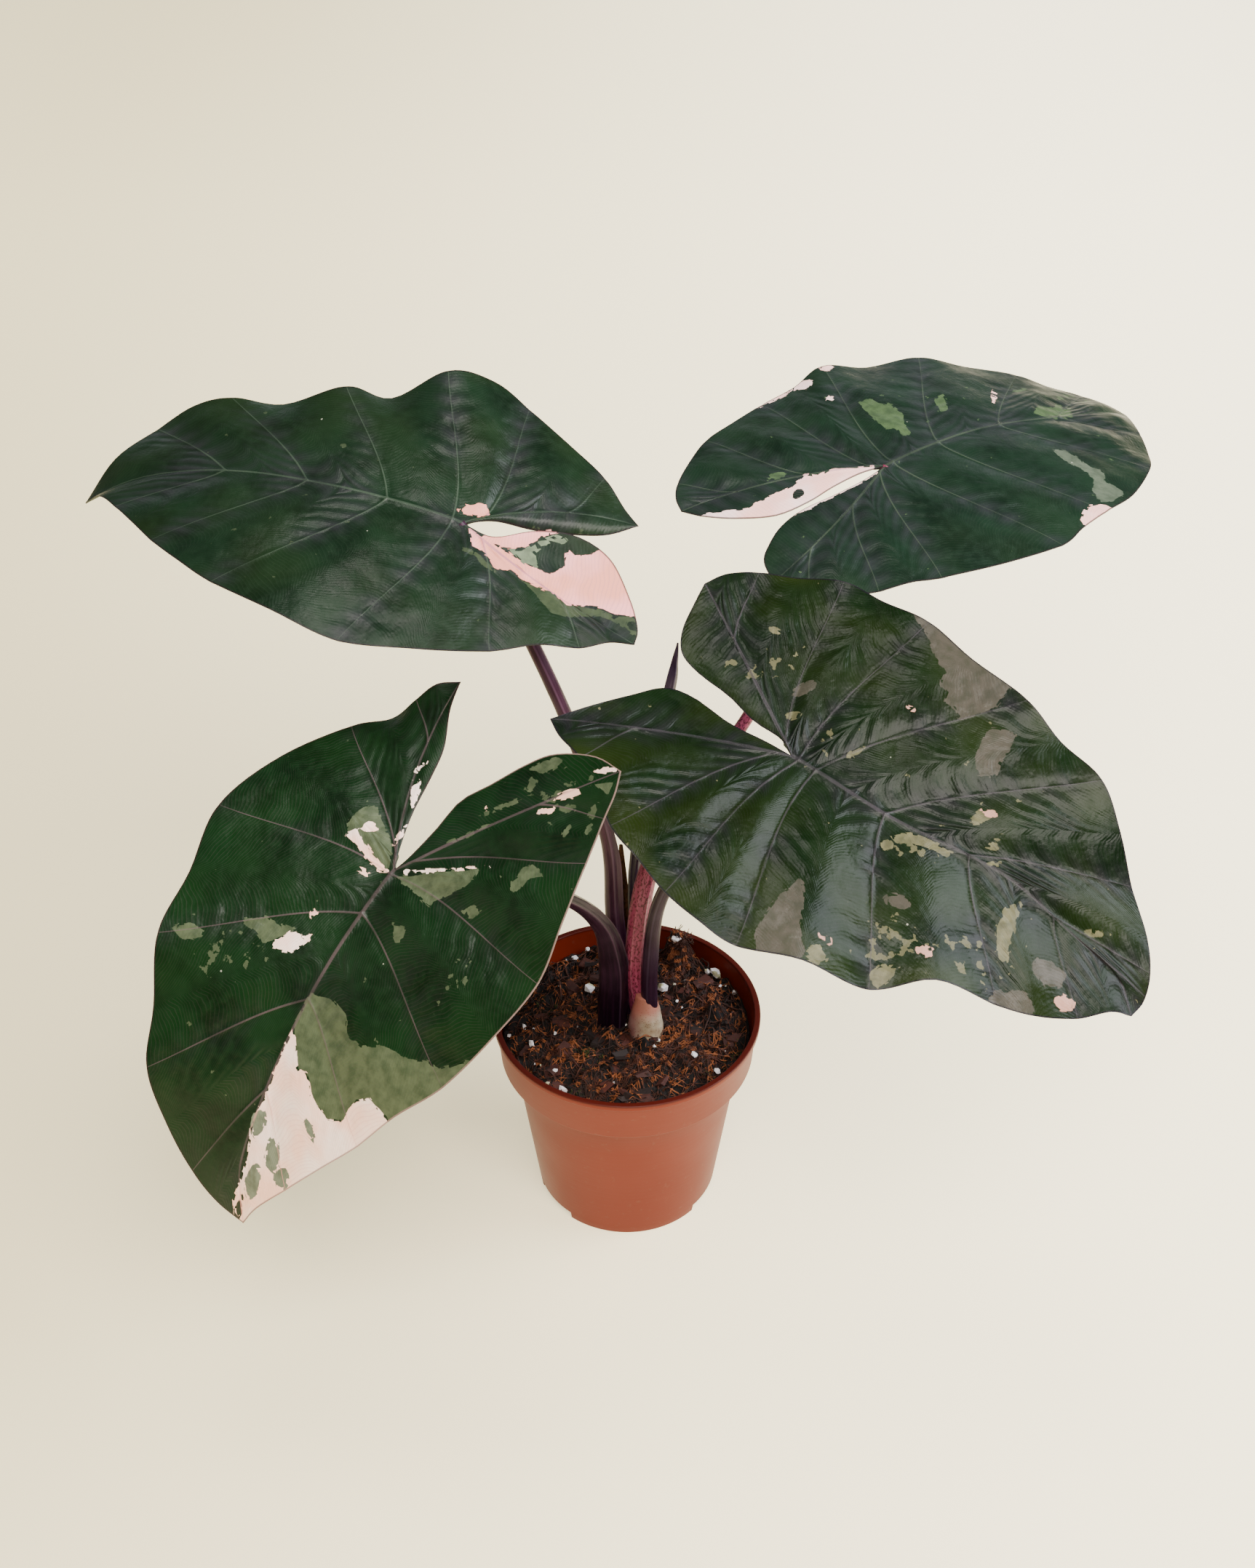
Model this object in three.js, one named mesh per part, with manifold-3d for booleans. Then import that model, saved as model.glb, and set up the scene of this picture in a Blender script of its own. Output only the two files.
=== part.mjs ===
// A potted variegated alocasia: a thin plastic nursery pot and its growing mix, a corm with
// four stalks, a dried sheath and a rolled new leaf, and four arrow-shaped blades.
// Millimetres, +Z up, the plant's front toward -Y, the origin at the middle of the pot's foot.
import * as THREE from "three";
import { mergeVertices } from "three/addons/utils/BufferGeometryUtils.js";
import Module from "manifold-3d";

const wasm = await Module();
wasm.setup();

// Driving sizes
const gap = 0.3;
const pot = {
  height: 102.5,
  rimRadius: 60,
  lipWidth: 1.4,
  lipHeight: 3,
  collarBottom: 80.5,
  collarRadius: 57.2,
  bodyTopRadius: 51.6,
  footRadius: 41.2,
  lipRound: 0.7,
  footRound: 0.8,
  wall: 1.3,
  floor: 1.6,
  facets: 60,
  notches: 3,
  notchWidth: 24,
  notchHeight: 4,
  notchDepth: 5,
  notchTurn: 94.5,
};
const mix = {
  level: 93,
  mound: 2,
  rings: 10,
  facets: 48,
  roughness: 0.9,
  fineWave: 0.85,
  coarseWave: 0.45,
};
const blade = {
  thickness: 0.8,
  ridge: 2.2,
  ridgeEnd: 0.1,
  blister: 2.2,
  blisterLength: 30,
  lobeBlister: 0.4,
  foldRound: 5,
  waveFade: 2.5,
  tipFade: 12,
  veinBend: 0.07,
  columnsPerKnot: 2,
  rows: [0, 0.06, 0.24, 0.48, 0.74, 1],
  lobeRows: [0, 0.1, 0.5, 1],
};
const stalkSides = 10;
const stalkRings = 16;
const stalkTip = 2.4;

// Clods of coir and bark that stand out of the mix: middle x and y, radius, height
const clods = [
  [24, 40, 13, 9],
  [-34, 20, 9, 3],
  [30, -22, 10, 2.5],
  [-18, -38, 11, 3],
  [4, -44, 9, 2.5],
  [40, 8, 8, 3],
  [-42, -8, 7, 2.5],
  [-8, 42, 10, 3],
];

// Each blade in its own plane, from where the stalk joins: u runs along the midrib to the
// tip, v to its left, and the third number of a point is how far the margin waves up there.
// Every second point of an outer margin is the end of a side vein. Roots are where those
// veins start: a share of the way to the tip, or back to the lobe's end if negative.
// Spread is heading, pitch and roll in degrees. Size scales the whole blade. Form is how the
// blade droops to its tip and into its lobes, arches across, folds up from the midrib and
// twists.
const leaves = {
  leaf_1: {
    at: [-64, 30, 335],
    spread: [166.5, -15, -16.3],
    size: 1,
    form: { droop: 0.0046, lobeDroop: 0.0001, arch: 0.0016, fold: 0.06, twist: 0 },
    tip: [160, 4, -8],
    midrib: [[55, -1], [105, -3], [138, -1]],
    roots: [-0.6, -0.12, 0.03, 0.2, 0.41, 0.63],
    left: {
      lobe: [-80, 28, 0],
      ribBow: -3,
      inner: [[-13, 2, 1], [-27, -6, 3], [-43, -10, 4], [-59, -5, 4], [-72, 9, 2], [-79, 21, 1]],
      outer: [
        [-71, 32, 1], [-61, 38, -1], [-46, 45, 1], [-30, 54, -1], [-5, 65, 0], [24, 72, -1],
        [53, 67, 1], [81, 57, -1], [99, 48, 0], [115, 37, -1], [128, 27, 0], [140, 17, 0],
        [151, 9, 0],
      ],
    },
    right: {
      lobe: [-64, -29, 0],
      ribBow: 6,
      inner: [[-11, -7, -1], [-26, -11, -3], [-42, -16, -3], [-54, -21, -2]],
      outer: [
        [-56, -36, -1], [-44, -46, 1], [-26, -59, -2], [-4, -69, 0], [14, -76, 2], [33, -72, 5],
        [52, -60, -6], [70, -54, 3], [94, -47, -4], [116, -45, 2], [131, -41, 2], [143, -31, -1],
        [154, -13, 1],
      ],
    },
  },
  leaf_2: {
    at: [110.1, 108.5, 318.1],
    spread: [39.7, -1, 5],
    size: 1.08,
    form: { droop: 0.0026, lobeDroop: 0.0019, arch: 0.0014, fold: 0, twist: 0.0001 },
    tip: [160, 1, -1],
    midrib: [[55, 1], [110, -2], [145, 1]],
    roots: [-0.72, -0.36, -0.06, 0.03, 0.2, 0.43, 0.66],
    left: {
      lobe: [-79, 31, 0],
      ribBow: -3,
      inner: [[-11, 2, 0], [-26, 2, 0], [-40, 1, 0], [-55, 3, 0], [-67, 12, 0], [-75, 22, 0]],
      outer: [
        [-76, 38, 1], [-68, 46, 0], [-54, 55, -1], [-40, 61, 0], [-22, 65, -1], [-3, 68, -1],
        [18, 71, -1], [37, 74, 3], [62, 71, -2], [87, 64, 2], [106, 53, 0], [125, 39, 1],
        [138, 30, -1], [148, 18, 0], [156, 9, 0],
      ],
    },
    right: {
      lobe: [-82, -25, 0],
      ribBow: 3,
      inner: [[-14, -2, 0], [-30, -2, 0], [-45, -1, 0], [-58, -3, 0], [-69, -8, 0], [-77, -14, 0]],
      outer: [
        [-81, -31, 0], [-77, -39, -1], [-68, -47, -1], [-56, -54, 0], [-43, -58, 0], [-32, -63, 0],
        [-5, -71, 0], [24, -74, -1], [41, -70, -1], [57, -68, 1], [84, -61, -1], [112, -48, 0],
        [127, -36, -1], [141, -21, 0], [152, -8, 0],
      ],
    },
  },
  leaf_3: {
    at: [62.7, -44.7, 276.4],
    spread: [-32.6, 11.7, 19.1],
    size: 0.98,
    form: { droop: 0.0025, lobeDroop: -0.0007, arch: 0.0019, fold: 0.2, twist: 0.0014 },
    tip: [158, -9, 1],
    midrib: [[45, -1], [92, 5], [128, 2], [147, 0]],
    roots: [-0.65, -0.07, 0.02, 0.07, 0.27, 0.49, 0.73],
    left: {
      lobe: [-72, 48, 0],
      ribBow: 0,
      inner: [[-8, 4, 0], [-21, 5, 0], [-35, 9, 0], [-50, 11, 0], [-61, 15, 0], [-67, 24, 0], [-70, 37, 0]],
      outer: [
        [-67, 57, 0], [-56, 64, 1], [-42, 71, -1], [-24, 77, 2], [-6, 78, -1], [15, 77, 1],
        [38, 72, -1], [65, 67, 1], [84, 61, -2], [105, 55, 2], [121, 43, 0], [134, 31, -3],
        [148, 19, -1], [156, 8, 2], [159, -1, 1],
      ],
    },
    right: {
      lobe: [-83, -44, -2],
      ribBow: -3,
      inner: [[-12, 0, 0], [-28, -1, 0], [-46, 1, 0], [-58, -2, 0], [-66, -14, 0], [-75, -30, 0]],
      outer: [
        [-75, -49, -1], [-62, -54, 3], [-50, -60, 1], [-37, -70, -1], [-21, -76, 1], [-5, -81, 0],
        [11, -83, 0], [27, -82, -2], [50, -73, 2], [74, -64, -5], [93, -48, 3], [115, -39, -2],
        [129, -33, -1], [142, -23, -1], [151, -13, 1],
      ],
    },
  },
  leaf_4: {
    at: [-86.0, -85.2, 254.1],
    spread: [225.4, 33.4, -11.1],
    size: 0.925,
    form: { droop: 0.0055, lobeDroop: 0.0019, arch: 0.0026, fold: 0.13, twist: -0.0039 },
    tip: [154, 7, -1],
    midrib: [[50, -1], [90, -1], [135, 0]],
    roots: [-0.64, -0.07, 0.015, 0.14, 0.4, 0.66],
    left: {
      lobe: [-81, 61, 0],
      ribBow: 2,
      inner: [[-8, 2, 0], [-23, 4, 0], [-38, 5, 0], [-50, 12, 0], [-64, 20, 0], [-74, 29, 0], [-81, 46, 0]],
      outer: [
        [-72, 65, 0], [-62, 67, 0], [-54, 69, 0], [-44, 71, 0], [-20, 76, 1], [4, 79, -1],
        [31, 74, 1], [58, 64, 0], [79, 51, 0], [98, 41, -1], [114, 31, 0], [131, 20, 0],
        [145, 11, 0],
      ],
    },
    right: {
      lobe: [-81, -36, 0],
      ribBow: 3,
      inner: [[-9, -4, 0], [-23, -9, 0], [-39, -13, 0], [-53, -18, 0], [-68, -29, 0]],
      outer: [
        [-74, -42, 4], [-64, -46, 1], [-52, -51, -4], [-39, -61, 0], [-12, -75, 0], [20, -79, 1],
        [49, -71, -2], [76, -65, 2], [101, -54, -2], [123, -45, 1], [138, -31, -1],
        [148, -17, -1], [153, -5, -1],
      ],
    },
  },
};

// Stalks by points up from the corm: x, y, z, half width, half depth. A stalk that carries
// a blade goes on to where the blade joins.
const stalks = {
  petiole_1: {
    leaf: "leaf_1",
    color: "#4a2436",
    points: [
      [0, 9, 86, 4.2, 4], [-1, 9, 110, 4, 3.8], [-5.5, 7.5, 150, 3.8, 3.4], [-8, 7, 195, 3.3, 3.1],
      [-22, 12, 246, 3.1, 3], [-38, 18, 287, 2.9, 2.8], [-54, 25, 320, 2.6, 2.6],
    ],
  },
  petiole_2: {
    leaf: "leaf_2",
    color: "#9c5a70",
    points: [
      [5.5, 0, 98, 3.6, 3], [3.5, -1, 135, 4.4, 3.2], [9, 3, 180, 4.2, 3], [26, 15, 212, 3.2, 2.8],
      [50, 38, 234, 2.8, 2.7], [74, 66, 266, 2.6, 2.6], [98, 94, 301, 2.6, 2.6],
    ],
  },
  petiole_3: {
    leaf: "leaf_3",
    color: "#43263a",
    points: [
      [10.5, -4, 98, 3.6, 3.2], [10, -6, 132, 3.6, 3.2], [13.5, -9, 172, 3.1, 3.1],
      [26, -15, 206, 2.7, 2.7], [43, -27, 238, 2.6, 2.6], [56, -38, 264, 2.6, 2.6],
    ],
  },
  petiole_4: {
    leaf: "leaf_4",
    color: "#2c1622",
    points: [
      [-7, -1, 84, 6.4, 5.2], [-6.4, -1, 108, 6.6, 5.2], [-6.2, -2.5, 132, 6.2, 4.8],
      [-10.5, -7, 158, 4.4, 4], [-23.5, -20, 184, 3.1, 3.1], [-47, -43, 213, 2.8, 2.8],
      [-71, -68, 239, 2.6, 2.6],
    ],
  },
  new_leaf: {
    color: "#2b1a2c",
    points: [
      [8, 6.5, 96, 3.2, 3], [4, 10, 150, 3.2, 3], [4, 11, 184, 2.6, 2.6], [10, 11, 230, 2.2, 2.2],
      [17.5, 12, 269, 2.3, 2.3], [19.5, 14, 281, 1.2, 1.2], [20.4, 15, 289, 0.4, 0.4],
    ],
  },
  dried_sheath: {
    color: "#5b3a22",
    points: [
      [1, 14.5, 88, 4, 0.8], [-0.5, 14, 130, 3.4, 0.7], [-2, 13.5, 165, 2.4, 0.6],
      [-2.5, 13, 187, 0.8, 0.5],
    ],
  },
};
const corm = {
  at: [8.5, -3.5],
  facets: 20,
  profile: [[5, 78], [7.2, 85], [7.6, 93], [6.9, 99], [5.6, 104], [3.5, 107]],
};

const plain = (color, roughness) => new THREE.MeshStandardMaterial({ color, roughness, metalness: 0 });
const materials = {
  pot: plain("#b4523a", 0.5),
  mix: plain("#4b2f1e", 0.95),
  blade: plain("#213c28", 0.4),
  corm: plain("#cbbf9f", 0.7),
};

// A smooth curve through all its points, whatever numbers each point holds
function through(points, t) {
  const last = points.length - 1;
  const i = Math.min(Math.floor(t), last - 1);
  const w = t - i;
  const at = (k) => {
    if (k < 0) return points[0].map((a, n) => 2 * a - points[1][n]);
    if (k > last) return points[last].map((a, n) => 2 * a - points[last - 1][n]);
    return points[k];
  };
  const [a, b, c, d] = [at(i - 1), at(i), at(i + 1), at(i + 2)];
  return b.map((bn, n) => {
    const rise = (c[n] - a[n]) / 2;
    const fall = (d[n] - bn) / 2;
    const bend = 3 * (c[n] - bn) - 2 * rise - fall;
    const turn = 2 * (bn - c[n]) + rise + fall;
    return bn + w * (rise + w * (bend + w * turn));
  });
}

// Triangles given by their corners become a geometry with merged corners
function fromTriangles(triangles) {
  const geometry = new THREE.BufferGeometry();
  geometry.setAttribute("position", new THREE.Float32BufferAttribute(triangles.flat(2), 3));
  return mergeVertices(geometry, 1e-4);
}

function toManifold(geometry) {
  const bare = geometry.clone();
  bare.deleteAttribute("normal");
  bare.deleteAttribute("uv");
  const merged = mergeVertices(bare, 1e-4);
  const vertProperties = new Float32Array(merged.attributes.position.array);
  const triVerts = new Uint32Array(merged.index.array);
  return new wasm.Manifold(new wasm.Mesh({ numProp: 3, vertProperties, triVerts }));
}

function fromManifold(solid) {
  const mesh = solid.getMesh();
  const geometry = new THREE.BufferGeometry();
  geometry.setAttribute("position", new THREE.Float32BufferAttribute(mesh.vertProperties, 3));
  geometry.setIndex([...mesh.triVerts]);
  return geometry;
}

// A cut can leave crumbs beside the main piece, and only the main piece is kept
function mainPiece(solid) {
  return solid.decompose().reduce((a, b) => (a.volume() > b.volume() ? a : b));
}

// Rings of points, first to last, closed at both ends by a fan to a middle point
function skin(rings, start, end) {
  const triangles = [];
  const count = rings[0].length;
  for (let k = 0; k < count; k += 1) {
    const next = (k + 1) % count;
    triangles.push([start, rings[0][next], rings[0][k]]);
    triangles.push([end, rings.at(-1)[k], rings.at(-1)[next]]);
    for (let r = 0; r + 1 < rings.length; r += 1) {
      triangles.push([rings[r][k], rings[r][next], rings[r + 1][next]]);
      triangles.push([rings[r][k], rings[r + 1][next], rings[r + 1][k]]);
    }
  }
  return fromTriangles(triangles);
}

function lathe(profile, facets) {
  return new THREE.LatheGeometry(profile.map(([r, z]) => new THREE.Vector2(r, z)), facets)
    .rotateX(Math.PI / 2);
}

// The pot's wall: foot, sloping body, wide collar and a rounded lip, then back down inside
function potGeometry() {
  const lipRadius = pot.rimRadius - pot.lipWidth;
  const outside = [
    [0, 0],
    [pot.footRadius - pot.footRound, 0],
    [pot.footRadius, pot.footRound],
    [pot.bodyTopRadius, pot.collarBottom],
    [pot.collarRadius - pot.lipRound, pot.collarBottom],
    [pot.collarRadius, pot.collarBottom + pot.lipRound],
    [lipRadius, pot.height - pot.lipHeight],
    [pot.rimRadius, pot.height - pot.lipHeight + pot.lipRound],
    [pot.rimRadius, pot.height - pot.lipRound],
    [pot.rimRadius - pot.lipRound, pot.height],
  ];
  const inside = [
    [lipRadius - pot.wall + pot.lipRound, pot.height],
    [lipRadius - pot.wall, pot.height - pot.lipRound],
    [pot.collarRadius - pot.wall, pot.collarBottom + pot.wall + 1],
    [pot.bodyTopRadius - pot.wall, pot.collarBottom + pot.wall],
    [pot.footRadius - pot.wall, pot.floor],
    [0, pot.floor],
  ];
  let solid = toManifold(lathe([...outside, ...inside], pot.facets));
  for (let n = 0; n < pot.notches; n += 1) {
    const notch = new THREE.BoxGeometry(pot.notchDepth * 2, pot.notchWidth, pot.notchHeight * 2)
      .translate(pot.footRadius, 0, 0)
      .rotateZ(THREE.MathUtils.degToRad(pot.notchTurn + (360 * n) / pot.notches));
    solid = solid.subtract(toManifold(notch));
  }
  return fromManifold(solid);
}

// How high the mix lies: a low mound, clods that stand out, and a fine roughness
function mixHeight(x, y) {
  const reach = Math.hypot(x, y) / pot.collarRadius;
  let z = mix.level + mix.mound * (1 - reach * reach);
  for (const [cx, cy, radius, height] of clods) {
    const away = Math.hypot(x - cx, y - cy) / radius;
    if (away < 1) z += height * (1 - away * away) ** 2;
  }
  const fine = Math.sin(x * mix.fineWave + 1) * Math.cos(y * mix.fineWave);
  return z + mix.roughness * (fine + Math.sin((x - y) * mix.coarseWave));
}

// The mix fills the pot a hair inside its wall, and the stalks stand in plain holes in it
function mixSolid(holes) {
  const ring = (radius, height) => {
    const points = [];
    for (let k = 0; k < mix.facets; k += 1) {
      const turn = (k / mix.facets) * 2 * Math.PI;
      const [x, y] = [radius * Math.cos(turn), radius * Math.sin(turn)];
      points.push([x, y, height ?? mixHeight(x, y)]);
    }
    return points;
  };
  const clear = pot.wall + gap + 0.2;
  const topRadius = pot.collarRadius - clear;
  const rings = [
    ring(pot.footRadius - clear, pot.floor + gap),
    ring(pot.bodyTopRadius - clear, pot.collarBottom + pot.wall + gap),
    ring(topRadius, pot.collarBottom + pot.wall + 1.6),
  ];
  for (let n = mix.rings; n > 0; n -= 1) rings.push(ring((topRadius * n) / mix.rings));
  let solid = toManifold(skin(rings, [0, 0, pot.floor + gap], [0, 0, mixHeight(0, 0)]));
  for (const hole of holes) solid = solid.subtract(hole);
  return solid;
}

// A stalk of oval rings along its points, its wide way across the plant
function stalkSolid(points, grow) {
  const rings = [];
  const last = points.length - 1;
  for (let r = 0; r <= stalkRings; r += 1) {
    const t = (r / stalkRings) * last;
    const [x, y, z, wide, deep] = through(points, t);
    const ahead = through(points, Math.min(t + 0.01, last));
    const behind = through(points, Math.max(t - 0.01, 0));
    const along = new THREE.Vector3(...ahead).sub(new THREE.Vector3(...behind)).normalize();
    const back = new THREE.Vector3(0, 1, 0);
    back.addScaledVector(along, -back.dot(along)).normalize();
    const across = new THREE.Vector3().crossVectors(back, along);
    const ring = [];
    for (let k = 0; k < stalkSides; k += 1) {
      const turn = (k / stalkSides) * 2 * Math.PI;
      const point = new THREE.Vector3(x, y, z)
        .addScaledVector(across, (wide + grow) * Math.cos(turn))
        .addScaledVector(back, (deep + grow) * Math.sin(turn));
      ring.push(point.toArray());
    }
    rings.push(ring);
  }
  const [start, end] = [points[0].slice(0, 3), points[last].slice(0, 3)];
  return toManifold(skin(rings, start, end));
}

function cormSolid(grow) {
  const profile = corm.profile.map(([r, z]) => [r + grow, z]);
  const [bottom, top] = [profile[0][1] - grow, profile.at(-1)[1] + grow];
  const outline = [[0, bottom], ...profile, [0, top]];
  return toManifold(lathe(outline, corm.facets).translate(corm.at[0], corm.at[1], 0));
}

// One half of a blade's plan. Its functions take s, from -1 at the lobe's end through 0 at
// the stalk to 1 at the tip, or a count of margin points c, and give u, v and wave.
function halfOf(leaf, side) {
  const { lobe, ribBow } = side;
  const { tip } = leaf;
  const margin = [lobe, ...side.outer, tip];
  const veins = [-1, ...leaf.roots, 1];
  const inner = [[0, 0, 0], ...side.inner, lobe];
  const midrib = [[0, 0], ...leaf.midrib, [tip[0], tip[1]]];
  const rootAt = (c) => {
    const i = Math.min(Math.floor(c / 2), veins.length - 2);
    return veins[i] + (veins[i + 1] - veins[i]) * (c / 2 - i);
  };
  const spine = (s) => {
    if (s < 0) {
      const bow = (ribBow * 4 * s * (1 + s)) / Math.hypot(lobe[0], lobe[1]);
      return [-lobe[0] * s + lobe[1] * bow, -lobe[1] * s - lobe[0] * bow, lobe[2] * s * s];
    }
    const u = s * tip[0];
    const i = Math.max(midrib.findIndex((knot) => knot[0] >= u), 1);
    const t = i - 1 + (u - midrib[i - 1][0]) / (midrib[i][0] - midrib[i - 1][0]);
    return [u, through(midrib, t)[1], tip[2] * s ** blade.tipFade];
  };
  const columns = [];
  for (let n = 0; n <= (margin.length - 1) * blade.columnsPerKnot; n += 1) {
    const c = n / blade.columnsPerKnot;
    columns.push({ c, s: rootAt(c) });
  }
  const ahead = columns.findIndex((column) => column.s > 0);
  const [before, after] = [columns[ahead - 1], columns[ahead]];
  const c = before.c + ((after.c - before.c) * -before.s) / (after.s - before.s);
  columns.splice(ahead, 0, { c, s: 0 });
  return {
    columns,
    spine,
    outer: (at) => through(margin, at),
    inner: (s) => through(inner, -s * (inner.length - 1)),
  };
}

// Height of the blade over its plane
function bladeHeight(form, u, v) {
  const ahead = Math.max(u, 0);
  const behind = Math.min(u, 0);
  return -(form.droop * ahead * ahead + form.lobeDroop * behind * behind + form.arch * v * v) / 2
    + form.fold * Math.hypot(v, blade.foldRound) + form.twist * u * v;
}

// A row of points from a rib out to the margin
function bladeRow(form, from, to, rows, bendBy, riseBy) {
  return rows.map((t) => {
    const bend = bendBy * 4 * t * (1 - t) * (1 - t);
    const u = from[0] + (to[0] - from[0]) * t - bend;
    const v = from[1] + (to[1] - from[1]) * t;
    const wave = from[2] + (to[2] - from[2]) * t ** blade.waveFade;
    const rise = riseBy * 4 * t * (1 - t);
    return [u, v, bladeHeight(form, u, v) + wave + rise, t === 0 ? blade.ridge : 0];
  });
}

// Rows of points from the ribs out to the margins, column by column, on both halves.
// The blade is sunk along its veins and swells between them.
function bladePatches(leaf) {
  const patches = [];
  for (const side of [leaf.left, leaf.right]) {
    const half = halfOf(leaf, side);
    const outer = half.columns.map(({ c, s }) => {
      const [from, to] = [half.spine(s), half.outer(c)];
      const length = Math.hypot(to[0] - from[0], to[1] - from[1]);
      const full = Math.min(length / blade.blisterLength, 1);
      const swell = blade.blister * full * Math.sin((c / 2) * Math.PI) ** 2;
      return bladeRow(leaf.form, from, to, blade.rows, blade.veinBend * length, swell);
    });
    const lobe = half.columns.filter(({ s }) => s <= 0).map(({ s }) => {
      const swell = blade.blister * blade.lobeBlister * Math.sin(-s * Math.PI);
      return bladeRow(leaf.form, half.spine(s), half.inner(s), blade.lobeRows, 0, swell);
    });
    const flip = side === leaf.right;
    patches.push({ grid: outer, flip }, { grid: lobe, flip: !flip });
  }
  return patches;
}

// The blade as one closed skin: its upper face, the same triangles below along the normals
// and a strip round the margin. Ribs stand out below, less toward their ends.
function bladeGeometry(leaf, grow) {
  const keys = new Map();
  const points = [];
  const faces = [];
  const corner = (point) => {
    const key = point.slice(0, 3).map((a) => a.toFixed(3)).join();
    if (!keys.has(key)) {
      keys.set(key, points.length);
      points.push(point);
    }
    return keys.get(key);
  };
  const face = (a, b, c, flip) => {
    if (a === b || b === c || c === a) return;
    faces.push(flip ? [a, c, b] : [a, b, c]);
  };
  for (const { grid, flip } of bladePatches(leaf)) {
    for (let n = 0; n + 1 < grid.length; n += 1) {
      for (let r = 0; r + 1 < grid[n].length; r += 1) {
        const [a, b] = [corner(grid[n][r]), corner(grid[n][r + 1])];
        const [d, c] = [corner(grid[n + 1][r]), corner(grid[n + 1][r + 1])];
        face(a, c, b, flip);
        face(a, d, c, flip);
      }
    }
  }
  const normals = points.map(() => new THREE.Vector3());
  const edges = new Map();
  const vectors = points.map(([x, y, z]) => new THREE.Vector3(x, y, z));
  for (const [a, b, c] of faces) {
    const normal = vectors[b].clone().sub(vectors[a]).cross(vectors[c].clone().sub(vectors[a]));
    for (const i of [a, b, c]) normals[i].add(normal);
    for (const [i, j] of [[a, b], [b, c], [c, a]]) edges.set(`${i},${j}`, [i, j]);
  }
  const upper = [];
  const lower = [];
  points.forEach((point, i) => {
    const normal = normals[i].normalize();
    const reach = Math.hypot(point[0], point[1]) / leaf.tip[0];
    const thickness = blade.thickness + point[3] * Math.max(1 - reach, blade.ridgeEnd);
    upper.push(vectors[i].clone().addScaledVector(normal, grow).toArray());
    lower.push(vectors[i].clone().addScaledVector(normal, -thickness - grow).toArray());
  });
  const triangles = [];
  for (const [a, b, c] of faces) {
    triangles.push([upper[a], upper[b], upper[c]]);
    triangles.push([lower[a], lower[c], lower[b]]);
  }
  for (const [i, j] of edges.values()) {
    if (edges.has(`${j},${i}`)) continue;
    triangles.push([upper[j], upper[i], lower[i]]);
    triangles.push([upper[j], lower[i], lower[j]]);
  }
  return fromTriangles(triangles);
}

// Turns a blade from its own plane to the way it spreads on the plant
function bladeMatrix(leaf) {
  const [heading, pitch, roll] = leaf.spread.map(THREE.MathUtils.degToRad);
  const along = new THREE.Vector3(
    Math.cos(heading) * Math.cos(pitch), Math.sin(heading) * Math.cos(pitch), -Math.sin(pitch));
  const level = new THREE.Vector3(-Math.sin(heading), Math.cos(heading), 0);
  const up = new THREE.Vector3().crossVectors(along, level);
  const across = level.multiplyScalar(Math.cos(roll)).addScaledVector(up, Math.sin(roll));
  const normal = new THREE.Vector3().crossVectors(along, across);
  return new THREE.Matrix4().makeBasis(along, across, normal)
    .scale(new THREE.Vector3(leaf.size, leaf.size, leaf.size))
    .setPosition(...leaf.at);
}

// The last point of a stalk, just under the ribs of its blade
function stalkEnd(leaf) {
  const below = bladeHeight(leaf.form, 0, 0) - blade.thickness - blade.ridge - gap;
  const end = new THREE.Vector3(0, 0, below).applyMatrix4(bladeMatrix(leaf));
  return [...end.toArray(), stalkTip, stalkTip];
}

const root = new THREE.Group();
function place(name, geometry, material) {
  const mesh = new THREE.Mesh(geometry, material);
  mesh.name = name;
  root.add(mesh);
  return mesh;
}

place("pot", potGeometry(), materials.pot);

for (const [name, leaf] of Object.entries(leaves)) {
  const mesh = place(name, bladeGeometry(leaf, 0), materials.blade);
  mesh.applyMatrix4(bladeMatrix(leaf));
}

// Stalks are cut clear of the blade they carry and of the ones that stand before them
const holes = [cormSolid(gap)];
place("corm", fromManifold(cormSolid(0)), materials.corm);
for (const [name, stalk] of Object.entries(stalks)) {
  const leaf = leaves[stalk.leaf];
  const points = leaf ? [...stalk.points, stalkEnd(leaf)] : stalk.points;
  let solid = stalkSolid(points, 0);
  for (const hole of holes) solid = solid.subtract(hole);
  if (leaf) {
    solid = solid.subtract(toManifold(bladeGeometry(leaf, gap).applyMatrix4(bladeMatrix(leaf))));
  }
  place(name, fromManifold(mainPiece(solid)), plain(stalk.color, 0.5));
  holes.push(stalkSolid(points, gap));
}
place("growing_mix", fromManifold(mixSolid(holes)), materials.mix);

export default root;
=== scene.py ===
# A potted variegated alocasia: four arrow-shaped blades on purple stalks over a corm, in a
# thin nursery pot of coir, bark and perlite. Sizes are in millimetres until they are placed.
import math
import random
from functools import partial
import bpy
import bmesh
from mathutils import Matrix, Vector, noise


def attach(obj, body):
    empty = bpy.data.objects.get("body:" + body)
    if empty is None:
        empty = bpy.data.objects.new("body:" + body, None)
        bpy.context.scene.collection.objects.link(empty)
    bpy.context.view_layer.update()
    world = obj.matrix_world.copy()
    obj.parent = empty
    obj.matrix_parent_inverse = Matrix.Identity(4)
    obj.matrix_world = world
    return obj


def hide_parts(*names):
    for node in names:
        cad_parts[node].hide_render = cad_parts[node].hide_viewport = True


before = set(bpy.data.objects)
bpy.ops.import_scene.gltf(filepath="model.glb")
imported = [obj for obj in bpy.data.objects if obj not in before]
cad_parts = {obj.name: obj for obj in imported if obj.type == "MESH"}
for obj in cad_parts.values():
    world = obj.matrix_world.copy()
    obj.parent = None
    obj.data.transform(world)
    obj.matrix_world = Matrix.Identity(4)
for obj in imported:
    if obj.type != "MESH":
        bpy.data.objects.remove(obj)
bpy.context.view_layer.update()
mm = 0.001
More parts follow.
